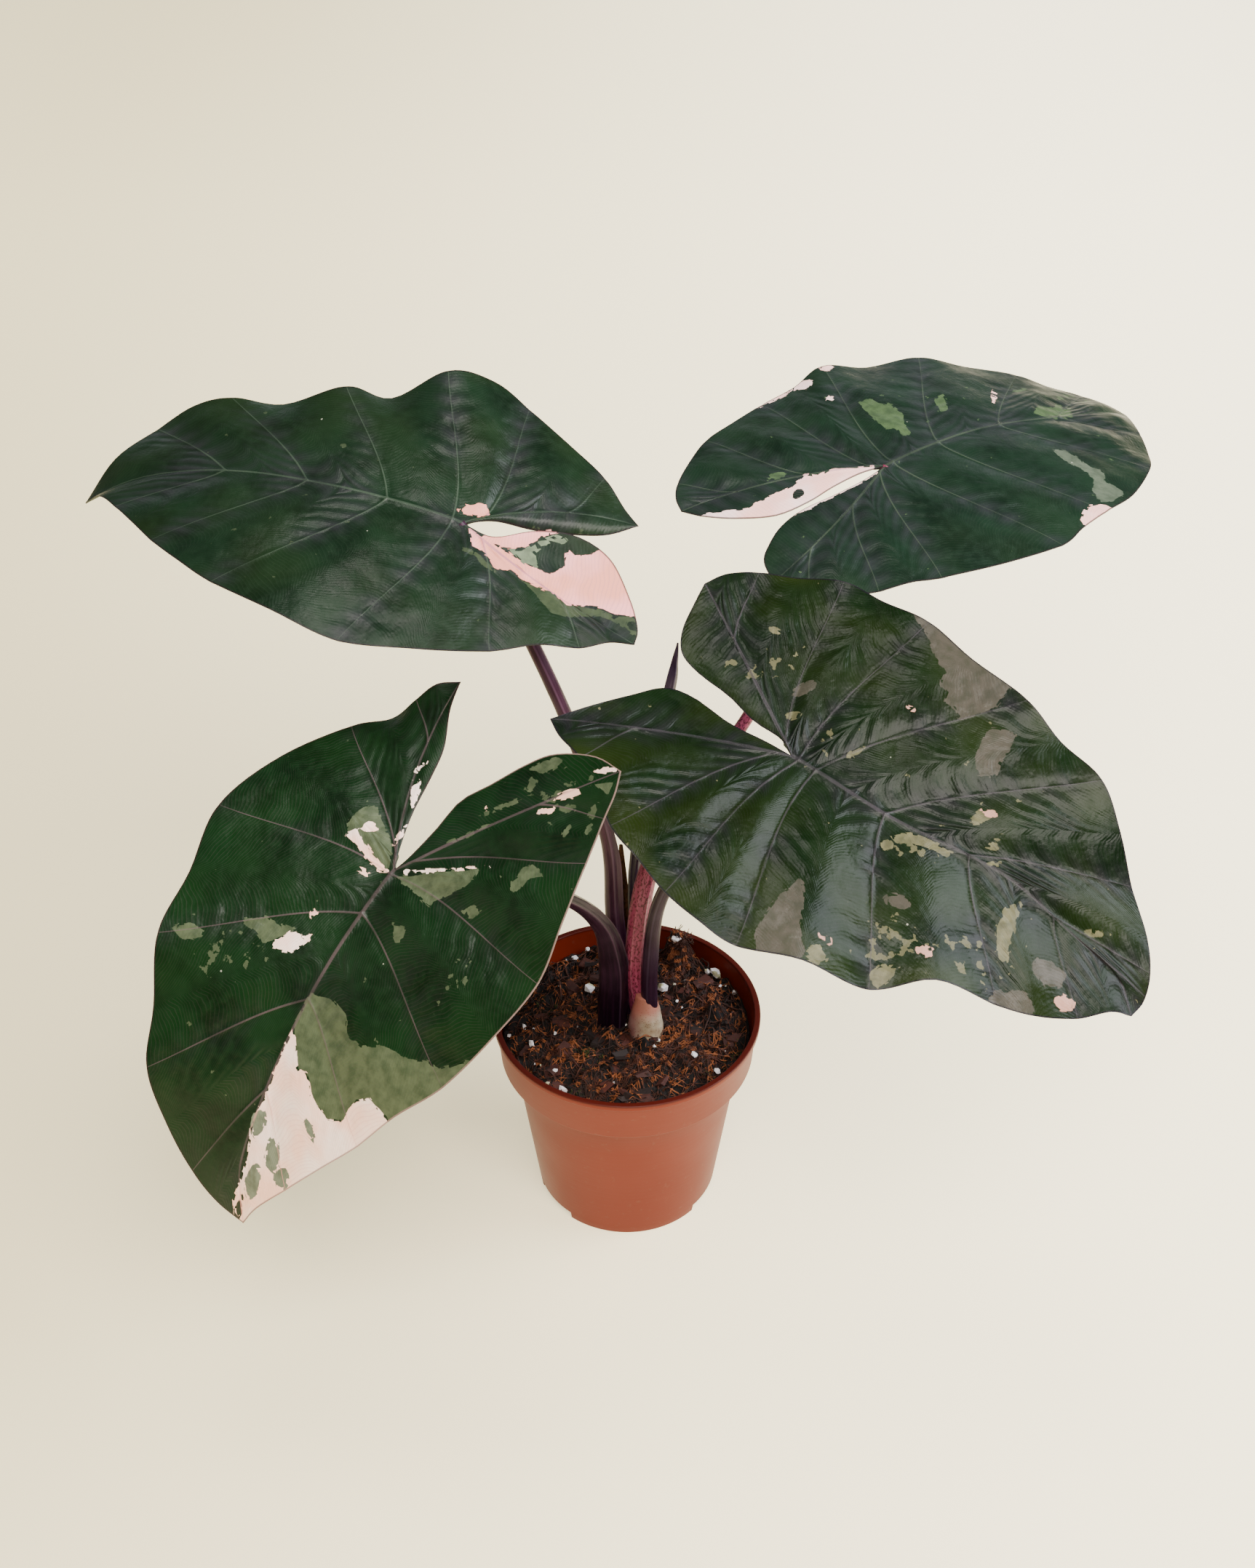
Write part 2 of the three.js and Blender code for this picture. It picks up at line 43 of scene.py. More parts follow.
scene = bpy.context.scene
noise.seed_set(7)
print("frame loaded:", len(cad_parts), "nodes")

# Camera, floor and light
view = {
    "imageSize": (1725, 2156),
    "place": (0.3, -667.9, 735.7),
    "tilt": 37.15,        # degrees down from level
    "focalPixels": 2800,
    "sensorHeight": 36,
}
studio = {
    "floorSize": 9000,
    "floorLeft": "#eedfae",
    "floorRight": "#f8ecca",
    "glowLeft": 0.25,     # the paper glows, painted light standing in for light from beyond, more so toward the window and the back
    "glowRight": 2.1,
    "glowBack": 1.25,
    "fadeWidth": 1300,    # the backdrop's painted light pales it over this many millimetres to the right
    "sky": "#e9eef2",
    "skyStrength": 0.16,
    "lamps": [
        # name, place, aims at, width and height, watts, colour
        ("window", (1250, -100, 1330), (40, 0, 230), (1000, 1100), 50, "#f4f7ff"),
        ("ceiling", (-150, 150, 2200), (0, 50, 0), (700, 500), 13, "#fffaf2"),
        ("back", (-200, 2600, 750), (0, 0, 250), (3000, 700), 4, "#f4f7ff"),
        ("front", (300, -1200, 1850), (-60, -60, 200), (1400, 1000), 76, "#fff8f0"),
        ("side", (-1500, -500, 700), (-50, 0, 200), (900, 900), 3, "#fff2e2"),
    ],
}


def linear(hexColour):
    parts = [int(hexColour[i:i + 2], 16) / 255 for i in (1, 3, 5)]
    return tuple(c / 12.92 if c < 0.04045 else ((c + 0.055) / 1.055) ** 2.4 for c in parts) + (1,)


# Fills sockets, by order or by name, with links, hex colours or plain values
def fill(node, inputs):
    for socket, value in inputs.items() if isinstance(inputs, dict) else enumerate(inputs):
        if isinstance(value, bpy.types.Node):
            value = value.outputs[0]
        if isinstance(value, bpy.types.NodeSocket):
            node.id_data.links.new(value, node.inputs[socket])
        else:
            node.inputs[socket].default_value = linear(value) if isinstance(value, str) else value


def addNode(material, kind, inputs=(), **settings):
    node = material.node_tree.nodes.new("ShaderNode" + kind)
    for name, value in settings.items():
        setattr(node, name, value)
    fill(node, inputs)
    return node


# A material, its shader and what adds nodes to it
def newMaterial(name, roughness, ior=1.45):
    material = bpy.data.materials.new(name)
    material.use_nodes = True
    shader = material.node_tree.nodes["Principled BSDF"]
    fill(shader, {"Roughness": roughness, "IOR": ior})
    return material, shader, partial(addNode, material)


def makeStudio():
    data = bpy.data.cameras.new("viewCamera")
    data.sensor_fit = "VERTICAL"
    data.sensor_height = view["sensorHeight"]
    data.lens = view["sensorHeight"] * view["focalPixels"] / view["imageSize"][1]
    data.clip_end = 30
    camera = bpy.data.objects.new("viewCamera", data)
    camera.location = Vector(view["place"]) * mm
    camera.rotation_euler = (math.radians(90 - view["tilt"]), 0, 0)
    scene.collection.objects.link(camera)
    scene.camera = camera

    world = bpy.data.worlds.new("softSky")
    world.use_nodes = True
    fill(world.node_tree.nodes["Background"], [studio["sky"], studio["skyStrength"]])
    scene.world = world
    for name, place, aim, size, watts, colour in studio["lamps"]:
        lamp = bpy.data.lights.new(name, "AREA")
        lamp.shape = "RECTANGLE"
        lamp.size, lamp.size_y = size[0] * mm, size[1] * mm
        lamp.energy = watts
        lamp.color = linear(colour)[:3]
        holder = bpy.data.objects.new(name, lamp)
        holder.location = Vector(place) * mm
        toward = Vector(aim) - Vector(place)
        holder.rotation_euler = toward.to_track_quat("-Z", "Y").to_euler()
        scene.collection.objects.link(holder)

    bm = bmesh.new()
    bmesh.ops.create_grid(bm, x_segments=2, y_segments=2, size=studio["floorSize"] * mm / 2)
    floor = finishPiece(bm, "floor", paperBackdrop(), smooth=False)


# Seamless background paper: matt and warm, with painted light: its colour is paler toward the
# window and it glows, more toward the window and the back
def paperBackdrop():
    material, shader, add = newMaterial("paper backdrop", 0.9)
    across = add("SeparateXYZ", [add("TexCoord").outputs["Object"]])
    reach = studio["fadeWidth"] * mm / 2
    fade = add("MapRange", [across, -reach, reach], interpolation_type="SMOOTHSTEP")
    colour = add("MixRGB", [fade, studio["floorLeft"], studio["floorRight"]])
    # painted light: the paper glows, weakly at the left, strongly toward the window and the back
    glow = add("MapRange", [fade, 0, 1, studio["glowLeft"], studio["glowRight"]])
    back = add("MapRange", [across.outputs["Y"], 0, 2 * reach, 0, studio["glowBack"]],
               interpolation_type="SMOOTHSTEP")
    glow = add("Math", [glow, back], operation="ADD")
    fill(shader, {"Base Color": colour, "Emission Color": colour, "Emission Strength": glow,
                  "Specular IOR Level": 0.1})
    return material


# A bmesh becomes an object at the origin
def finishPiece(bm, name, material, smooth=True, sharpAngle=None):
    for face in bm.faces:
        face.smooth = smooth
    if sharpAngle:
        for edge in bm.edges:
            if edge.is_manifold and edge.calc_face_angle(0) > math.radians(sharpAngle):
                edge.smooth = False
    mesh = bpy.data.meshes.new(name)
    bm.to_mesh(mesh)
    bm.free()
    mesh.materials.append(material)
    piece = bpy.data.objects.new(name, mesh)
    scene.collection.objects.link(piece)
    return piece


def fillHoles(bm):
    bmesh.ops.holes_fill(bm, edges=[edge for edge in bm.edges if edge.is_boundary], sides=0)


def closePiece(bm):
    fillHoles(bm)
    bmesh.ops.recalc_face_normals(bm, faces=bm.faces)
    bm.transform(Matrix.Scale(mm, 4))


def spinRound(bm, steps):
    bmesh.ops.spin(bm, geom=bm.verts[:] + bm.edges[:], axis=(0, 0, 1), cent=(0, 0, 0),
                   angle=2 * math.pi, steps=steps, use_merge=True)


def evaluatedMesh(piece):
    dependencies = bpy.context.evaluated_depsgraph_get()
    return bpy.data.meshes.new_from_object(piece.evaluated_get(dependencies))


def seat(piece, slot, *nodes):
    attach(piece, "root")
    if nodes:
        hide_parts(*nodes)


# A smooth curve through all its points, whatever numbers each point holds
def through(points, t):
    last = len(points) - 1
    i = min(int(t), last - 1)
    w = t - i

    def at(k):
        if k < 0:
            return [2 * a - b for a, b in zip(points[0], points[1])]
        if k > last:
            return [2 * a - b for a, b in zip(points[last], points[last - 1])]
        return points[k]

    curve = []
    for a, b, c, d in zip(at(i - 1), at(i), at(i + 1), at(i + 2)):
        rise, fall = (c - a) / 2, (d - b) / 2
        bend = 3 * (c - b) - 2 * rise - fall
        turn = 2 * (b - c) + rise + fall
        curve.append(b + w * (rise + w * (bend + w * turn)))
    return curve


def bump(x, width):
    return math.exp(-(x / width) ** 2)


def clamp(x, low=0.0, high=1.0):
    return max(low, min(high, x))


# Blades. Each lies in its own plane, from where the stalk joins: u runs along the midrib to
# the tip, v to its left, and the third number is how far the margin waves up there. Every
# second point of an outer margin is the end of a side vein, and roots are where those veins
# start, as a share of the way to the tip, or back to the lobe's end if negative.
leaves = {
    "leaf_1": {
        "at": (-64, 30, 335), "spread": (166.5, -15, -16.3), "size": 1,
        "form": {"droop": 0.0046, "lobeDroop": 0.0001, "arch": 0.0016, "fold": 0.06, "twist": 0},
        "tip": (160, 4, -8), "midrib": [(55, -1), (105, -3), (138, -1)],
        "roots": [-0.6, -0.12, 0.03, 0.2, 0.41, 0.63],
        "left": {
            "lobe": (-80, 28, 0), "ribBow": -3,
            "inner": [(-13, 2, 1), (-27, -6, 3), (-43, -10, 4), (-59, -5, 4), (-72, 9, 2),
                      (-79, 21, 1)],
            "outer": [(-71, 32, 1), (-61, 38, -1), (-46, 45, 1), (-30, 54, -1), (-5, 65, 0),
                      (24, 72, -1), (53, 67, 1), (81, 57, -1), (99, 48, 0), (115, 37, -1),
                      (128, 27, 0), (140, 17, 0), (151, 9, 0)],
        },
        "right": {
            "lobe": (-64, -29, 0), "ribBow": 6,
            "inner": [(-11, -7, -1), (-26, -11, -3), (-42, -16, -3), (-54, -21, -2)],
            "outer": [(-56, -36, -1), (-44, -46, 1), (-26, -59, -2), (-4, -69, 0), (14, -76, 2),
                      (33, -72, 5), (52, -60, -6), (70, -54, 3), (94, -47, -4), (116, -45, 2),
                      (131, -41, 2), (143, -31, -1), (154, -13, 1)],
        },
    },
    "leaf_2": {
        "at": (110.1, 108.5, 318.1), "spread": (39.7, -1, 5), "size": 1.08,
        "form": {"droop": 0.0026, "lobeDroop": 0.0019, "arch": 0.0014, "fold": 0, "twist": 1e-4},
        "tip": (160, 1, -1), "midrib": [(55, 1), (110, -2), (145, 1)],
        "roots": [-0.72, -0.36, -0.06, 0.03, 0.2, 0.43, 0.66],
        "left": {
            "lobe": (-79, 31, 0), "ribBow": -3,
            "inner": [(-11, 2, 0), (-26, 2, 0), (-40, 1, 0), (-55, 3, 0), (-67, 12, 0),
                      (-75, 22, 0)],
            "outer": [(-76, 38, 1), (-68, 46, 0), (-54, 55, -1), (-40, 61, 0), (-22, 65, -1),
                      (-3, 68, -1), (18, 71, -1), (37, 74, 3), (62, 71, -2), (87, 64, 2),
                      (106, 53, 0), (125, 39, 1), (138, 30, -1), (148, 18, 0), (156, 9, 0)],
        },
        "right": {
            "lobe": (-82, -25, 0), "ribBow": 3,
            "inner": [(-14, -2, 0), (-30, -2, 0), (-45, -1, 0), (-58, -3, 0), (-69, -8, 0),
                      (-77, -14, 0)],
            "outer": [(-81, -31, 0), (-77, -39, -1), (-68, -47, -1), (-56, -54, 0), (-43, -58, 0),
                      (-32, -63, 0), (-5, -71, 0), (24, -74, -1), (41, -70, -1), (57, -68, 1),
                      (84, -61, -1), (112, -48, 0), (127, -36, -1), (141, -21, 0), (152, -8, 0)],
        },
    },
    "leaf_3": {
        "at": (62.7, -44.7, 276.4), "spread": (-32.6, 11.7, 19.1), "size": 0.98,
        "form": {"droop": 0.0025, "lobeDroop": -0.0007, "arch": 0.0019, "fold": 0.2,
                 "twist": 0.0014},
        "tip": (158, -9, 1), "midrib": [(45, -1), (92, 5), (128, 2), (147, 0)],
        "roots": [-0.65, -0.07, 0.02, 0.07, 0.27, 0.49, 0.73],
        "left": {
            "lobe": (-72, 48, 0), "ribBow": 0,
            "inner": [(-8, 4, 0), (-21, 5, 0), (-35, 9, 0), (-50, 11, 0), (-61, 15, 0),
                      (-67, 24, 0), (-70, 37, 0)],
            "outer": [(-67, 57, 0), (-56, 64, 1), (-42, 71, -1), (-24, 77, 2), (-6, 78, -1),
                      (15, 77, 1), (38, 72, -1), (65, 67, 1), (84, 61, -2), (105, 55, 2),
                      (121, 43, 0), (134, 31, -3), (148, 19, -1), (156, 8, 2), (159, -1, 1)],
        },
        "right": {
            "lobe": (-83, -44, -2), "ribBow": -3,
            "inner": [(-12, 0, 0), (-28, -1, 0), (-46, 1, 0), (-58, -2, 0), (-66, -14, 0),
                      (-75, -30, 0)],
            "outer": [(-75, -49, -1), (-62, -54, 3), (-50, -60, 1), (-37, -70, -1), (-21, -76, 1),
                      (-5, -81, 0), (11, -83, 0), (27, -82, -2), (50, -73, 2), (74, -64, -5),
                      (93, -48, 3), (115, -39, -2), (129, -33, -1), (142, -23, -1), (151, -13, 1)],
        },
    },
    "leaf_4": {
        "at": (-86, -85.2, 254.1), "spread": (225.4, 33.4, -11.1), "size": 0.925,
        "form": {"droop": 0.0055, "lobeDroop": 0.0019, "arch": 0.0026, "fold": 0.13,
                 "twist": -0.0039},
        "tip": (154, 7, -1), "midrib": [(50, -1), (90, -1), (135, 0)],
        "roots": [-0.64, -0.07, 0.015, 0.14, 0.4, 0.66],
        "left": {
            "lobe": (-81, 61, 0), "ribBow": 2,
            "inner": [(-8, 2, 0), (-23, 4, 0), (-38, 5, 0), (-50, 12, 0), (-64, 20, 0),
                      (-74, 29, 0), (-81, 46, 0)],
            "outer": [(-72, 65, 0), (-62, 67, 0), (-54, 69, 0), (-44, 71, 0), (-20, 76, 1),
                      (4, 79, -1), (31, 74, 1), (58, 64, 0), (79, 51, 0), (98, 41, -1),
                      (114, 31, 0), (131, 20, 0), (145, 11, 0)],
        },
        "right": {
            "lobe": (-81, -36, 0), "ribBow": 3,
            "inner": [(-9, -4, 0), (-23, -9, 0), (-39, -13, 0), (-53, -18, 0), (-68, -29, 0)],
            "outer": [(-74, -42, 4), (-64, -46, 1), (-52, -51, -4), (-39, -61, 0), (-12, -75, 0),
                      (20, -79, 1), (49, -71, -2), (76, -65, 2), (101, -54, -2), (123, -45, 1),
                      (138, -31, -1), (148, -17, -1), (153, -5, -1)],
        },
    },
}
blade = {
    "thickness": 0.7,
    "sink": 0.16,           # it lies this far below its plane, so its cords stay in the part's box
    "edgeThickness": 0.35,
    "blister": 1.7,         # how far the blade swells between side veins
    "blisterLength": 30,
    "lobeBlister": 0.4,
    "foldRound": 5,
    "waveFade": 2.5,
    "tipFade": 12,
    "veinBend": 0.07,
    "branchBend": 6,        # side veins' own branches leave them slanting, then run beside them
    "columnsPerVein": 18,
    "rows": 56,
    "rowCrowd": 0.4,        # rows crowd toward the rib by this much
    "sideStep": 0.01,       # a vein's direction is taken over this share of it
    "lobeSlant": 0.7,
    "noVein": 20,           # an inner lobe has no side vein this near
    "lobeRows": 22,
    "cord": 0.35,           # a vein stands this high above the trough it lies in
    "cordWidth": 0.55,
    "trough": 0.5,
    "troughWidth": 2.4,
    "spineCord": 0.7,
    "spineWidth": 1.3,
    "veinTaper": 0.6,
    "lineTaper": 0.65,
    "ribDepth": 1.1,        # how far the ribs stand out below
    "ribWidth": 1.6,
    "sideRib": 0.45,
    "pucker": 0.55,         # small swellings between the veins, and their size
    "puckerSize": 9,
    "patchSize": 22,        # folds and veils come and go with noise of this size
    # how far from the margin, the midrib or a side vein these reach their full height
    "puckerFade": (6, 8, 3), "rippleFade": (12, 1.5), "cordFade": 5, "troughFade": 4,
    "veilReach": (8, 18),   # how far the grey veil, partly painted sheen, spreads from a side vein and from the midrib
    "fieldReach": 6,        # a marking's field is held to this many millimetres
}


def bladeMatrix(leaf):
    heading, pitch, roll = [math.radians(a) for a in leaf["spread"]]
    along = Vector((math.cos(heading) * math.cos(pitch),
                    math.sin(heading) * math.cos(pitch), -math.sin(pitch)))
    level = Vector((-math.sin(heading), math.cos(heading), 0))
    across = level * math.cos(roll) + along.cross(level) * math.sin(roll)
    turn = Matrix((along, across, along.cross(across))).transposed().to_4x4()
    return Matrix.Translation(leaf["at"]) @ turn @ Matrix.Scale(leaf["size"], 4)


# How high the blade stands over its plane: it droops to its tip and into its lobes, arches
# across, folds up from the midrib and twists
def bladeHeight(form, u, v):
    ahead, behind = max(u, 0), min(u, 0)
    droop = form["droop"] * ahead ** 2 + form["lobeDroop"] * behind ** 2 + form["arch"] * v ** 2
    return form["fold"] * math.hypot(v, blade["foldRound"]) + form["twist"] * u * v - droop / 2


# The midrib ahead of the stalk and the lobe's rib behind it, for s from -1 to 1
def spinePoint(leaf, side, s):
    tip, lobe = leaf["tip"], side["lobe"]
    if s < 0:
        bow = side["ribBow"] * 4 * s * (1 + s) / math.hypot(lobe[0], lobe[1])
        return (-lobe[0] * s + lobe[1] * bow, -lobe[1] * s - lobe[0] * bow, lobe[2] * s * s)
    midrib = [(0, 0)] + leaf["midrib"] + [tip[:2]]
    u = s * tip[0]
    i = next((n for n in range(1, len(midrib)) if midrib[n][0] >= u), len(midrib) - 1)
    t = i - 1 + (u - midrib[i - 1][0]) / (midrib[i][0] - midrib[i - 1][0])
    return (u, through(midrib, t)[1], tip[2] * s ** blade["tipFade"])


# Columns along a margin: c counts its points, s is where that column leaves the rib. They
# crowd toward the veins, whose cords are fine.
def bladeColumns(leaf):
    veins = [-1] + leaf["roots"] + [1]
    columns = []
    for k in range(len(veins) - 1):
        for n in range(blade["columnsPerVein"]):
            w = 0.5 - 0.5 * math.cos(math.pi * n / blade["columnsPerVein"])
            columns.append((2 * k + 2 * w, veins[k] + (veins[k + 1] - veins[k]) * w))
    columns.append((2 * len(veins) - 2, 1))
    ahead = next(n for n, column in enumerate(columns) if column[1] > 0)
    (c0, s0), (c1, s1) = columns[ahead - 1], columns[ahead]
    if s0 < 0:
        columns.insert(ahead, (c0 + (c1 - c0) * -s0 / (s1 - s0), 0))
    return columns


# One strip from a rib to the margin: where a point lies t of the way out
def stripPoint(start, end, t, bend):
    bent = bend * 4 * t * (1 - t) ** 2
    wave = start[2] + (end[2] - start[2]) * t ** blade["waveFade"]
    return Vector((start[0] + (end[0] - start[0]) * t - bent,
                   start[1] + (end[1] - start[1]) * t, wave))


def gapTo(point, a, b):
    way = Vector(b[:2]) - Vector(a[:2])
    off = Vector(point[:2]) - Vector(a[:2])
    return abs(way.x * off.y - way.y * off.x) / max(way.length, 1e-6)


# The outer part of a half blade, rib to margin
def outerPatch(bm, layers, leaf, side):
    margin = [side["lobe"]] + side["outer"] + [leaf["tip"]]
    columns = bladeColumns(leaf)
    last, bend, step = len(columns) - 1, blade["veinBend"], blade["sideStep"]
    strips, veinStrips = [], {}
    for c, s in columns:
        start, end = spinePoint(leaf, side, s), through(margin, c)
        strips.append((c, s, start, end, math.hypot(end[0] - start[0], end[1] - start[1])))
        if abs(c / 2 - round(c / 2)) < 1e-6:
            veinStrips[round(c)] = strips[-1]
    grid = bmesh.ops.create_grid(bm, x_segments=last, y_segments=blade["rows"], size=1)["verts"]
    for vert in grid:
        c, s, start, end, length = strips[round((vert.co.x + 1) / 2 * last)]
        t = (vert.co.y + 1) / 2
        t = t * (1 - blade["rowCrowd"] + blade["rowCrowd"] * t)
        flat = stripPoint(start, end, t, bend * length)
        full = min(length / blade["blisterLength"], 1)
        swell = blade["blister"] * full * math.sin(c / 2 * math.pi) ** 2 * 4 * t * (1 - t)
        vein = veinStrips[min(max(round(c / 2) * 2, 2), len(margin) - 3)]
        onVein, onNext = [stripPoint(vein[2], vein[3], along, bend * vein[4])
                          for along in (t, t + 2 * step)]
        ahead = spinePoint(leaf, side, s + step if s < 1 - 2 * step else s - step)
        gaps = (gapTo(flat, onVein, onNext), gapTo(flat, start, ahead), (1 - t) * length)
        between = abs(c / 2 - round(c / 2)) * 2
        weave = t * length + blade["branchBend"] * math.log(1 - 0.9 * between)
        setBladePoint(vert, layers, leaf, flat, swell, gaps, weave, t, s)
    return grid


# The inner part of a lobe, rib to sinus
def innerPatch(bm, layers, leaf, side):
    inner = [(0, 0, 0)] + side["inner"] + [side["lobe"]]
    columns = [column for column in bladeColumns(leaf) if column[1] <= 0]
    last = len(columns) - 1
    grid = bmesh.ops.create_grid(bm, x_segments=last, y_segments=blade["lobeRows"], size=1)["verts"]
    for vert in grid:
        s = columns[round((vert.co.x + 1) / 2 * last)][1]
        t = (vert.co.y + 1) / 2
        start, end = spinePoint(leaf, side, s), through(inner, -s * (len(inner) - 1))
        length = math.hypot(end[0] - start[0], end[1] - start[1])
        swell = blade["blister"] * blade["lobeBlister"] * math.sin(-s * math.pi) * 4 * t * (1 - t)
        weave = -s * math.hypot(side["lobe"][0], side["lobe"][1]) + t * length * blade["lobeSlant"]
        gaps = (blade["noVein"], t * length, (1 - t) * length)
        setBladePoint(vert, layers, leaf, stripPoint(start, end, t, 0), swell, gaps, weave, t, s)
    return grid


# Puts a blade's point in place, with what its material needs to know about it
def setBladePoint(vert, layers, leaf, flat, swell, gaps, weave, t, s):
    veinGap, spineGap, edgeGap = gaps
    u, v = flat.x, flat.y
    fade = 1
    for gap, full in zip((edgeGap, spineGap, veinGap), blade["puckerFade"]):
        fade *= clamp(gap / full)
    place = Vector((u, v, leaf["seed"]))
    pucker = blade["pucker"] * fade * noise.noise(place / blade["puckerSize"])
    taper = 1 - blade["veinTaper"] * t
    inward = clamp(edgeGap / blade["cordFade"])
    cord = blade["cord"] * taper * bump(veinGap, blade["cordWidth"]) * inward
    trough = blade["trough"] * taper * bump(veinGap, blade["troughWidth"])
    trough *= clamp(spineGap / blade["troughFade"])
    spine = blade["spineCord"] * (1 - 0.8 * abs(s)) * bump(spineGap, blade["spineWidth"])
    spine *= clamp(math.hypot(u, v) / 4) * inward
    height = bladeHeight(leaf["form"], u, v) + flat.z + swell + pucker + cord - trough + spine
    vert.co = Vector((u, v, height - blade["sink"]))
    spineRib = bump(spineGap, blade["ribWidth"]) * (1 - 0.75 * abs(s))
    sideRib = blade["sideRib"] * taper * bump(veinGap, 1.0)
    patch = 0.5 + noise.noise(Vector((u, v, leaf["seed"] + 9)) / blade["patchSize"])
    look, near = leaf["look"], min(veinGap, spineGap)
    edgeFade, veinFade = blade["rippleFade"]
    ripple = clamp(near / veinFade) * clamp(1.3 - near / look["rippleWidth"])
    ripple *= clamp(edgeGap / edgeFade)
    # the grey veil near the side veins and the midrib: partly the blade's own tone, partly painted
    # sheen
    veil = max(1 - veinGap / blade["veilReach"][0], 1 - spineGap / blade["veilReach"][1], 0)
    readings = {
        "line": min(veinGap / (look["veinWidth"] * (1 - blade["lineTaper"] * t)),
                    spineGap / (look["spineWidth"] * (1 - blade["lineTaper"] * abs(s)))),
        "edgeGap": edgeGap,
        "weave": weave,
        "ripple": look["ripple"] * ripple * clamp(patch * 3 - 0.8),
        "veil": veil * clamp(patch * 1.6),
        "outward": t * clamp(1.3 - patch * 1.6),
        "ribDepth": max(spineRib, sideRib) * blade["ribDepth"],
        "plan": Vector((u, v, 0)),
    }
    for colour in markColours:
        readings[colour] = markField(leaf["marks"].get(colour, []), u, v)
    for key, reading in readings.items():
        vert[layers[key]] = reading


# How many millimetres a point lies inside the nearest mark of one colour, or outside if
# negative. A mark is an outline, or an oval: middle u and v, half length, half width, turn.
def markField(shapes, u, v):
    reach = blade["fieldReach"]
    best = -reach
    for shape in shapes:
        if isinstance(shape, list):
            best = max(best, insideOutline(shape, u, v, reach))
            continue
        cu, cv, long, wide, turn = shape
        if abs(u - cu) > long + wide + reach or abs(v - cv) > long + wide + reach:
            continue
        x, y = u - cu, v - cv
        a = math.radians(turn)
        x, y = x * math.cos(a) + y * math.sin(a), y * math.cos(a) - x * math.sin(a)
        best = max(best, (1 - math.hypot(x / long, y / wide)) * min(long, wide))
    return clamp(best, -reach, reach)


def insideOutline(outline, u, v, reach):
    us, vs = [p[0] for p in outline], [p[1] for p in outline]
    if not (min(us) - reach < u < max(us) + reach and min(vs) - reach < v < max(vs) + reach):
        return -reach
    inside, near = False, reach
    for (u0, v0), (u1, v1) in zip(outline, outline[1:] + outline[:1]):
        if (v0 > v) != (v1 > v) and u < (u1 - u0) * (v - v0) / (v1 - v0) + u0:
            inside = not inside
        du, dv = u1 - u0, v1 - v0
        w = clamp(((u - u0) * du + (v - v0) * dv) / (du * du + dv * dv))
        near = min(near, math.hypot(u - u0 - w * du, v - v0 - w * dv))
    return near if inside else -near


# What each point of a blade tells its material
bladeReadings = ["line", "edgeGap", "weave", "ripple", "veil", "outward", "under"]
markColours = ["pink", "pale", "grey", "green", "fleck"]


def makeBlade(name, leaf):
    bm = bmesh.new()
    floats, vectors = bm.verts.layers.float, bm.verts.layers.float_vector
    layers = {key: floats.new(key) for key in bladeReadings + ["ribDepth"] + markColours}
    layers.update({key: vectors.new(key) for key in ("plan", "normal")})
    for side in (leaf["left"], leaf["right"]):
        flip = side is leaf["left"]
        for patch, turned in ((outerPatch(bm, layers, leaf, side), flip),
                              (innerPatch(bm, layers, leaf, side), not flip)):
            faces = list({face for vert in patch for face in vert.link_faces})
            if turned:
                bmesh.ops.reverse_faces(bm, faces=faces)
    bmesh.ops.remove_doubles(bm, verts=bm.verts, dist=0.004)
    bmesh.ops.dissolve_degenerate(bm, dist=0.004, edges=bm.edges)
    bmesh.ops.recalc_face_normals(bm, faces=bm.faces)
    bm.normal_update()
    if sum(face.normal.z * face.calc_area() for face in bm.faces) < 0:
        bmesh.ops.reverse_faces(bm, faces=bm.faces)
        bm.normal_update()
    for vert in bm.verts:
        vert[layers["normal"]] = vert.normal
    made = bmesh.ops.extrude_face_region(bm, geom=bm.faces[:])["geom"]
    for vert in [item for item in made if isinstance(item, bmesh.types.BMVert)]:
        full = blade["thickness"] - blade["edgeThickness"]
        depth = blade["edgeThickness"] + full * clamp(vert[layers["edgeGap"]] / 3)
        depth += vert[layers["ribDepth"]] * clamp(vert[layers["edgeGap"]] / 6)
        vert.co -= vert[layers["normal"]] * depth
        vert[layers["under"]] = 1
    bmesh.ops.recalc_face_normals(bm, faces=bm.faces)
    vectors.remove(vectors["normal"])
    floats.remove(floats["ribDepth"])
    bm.transform(Matrix.Scale(mm, 4) @ bladeMatrix(leaf))
    return finishPiece(bm, name, bladeMaterial(name, leaf["look"]), sharpAngle=60)
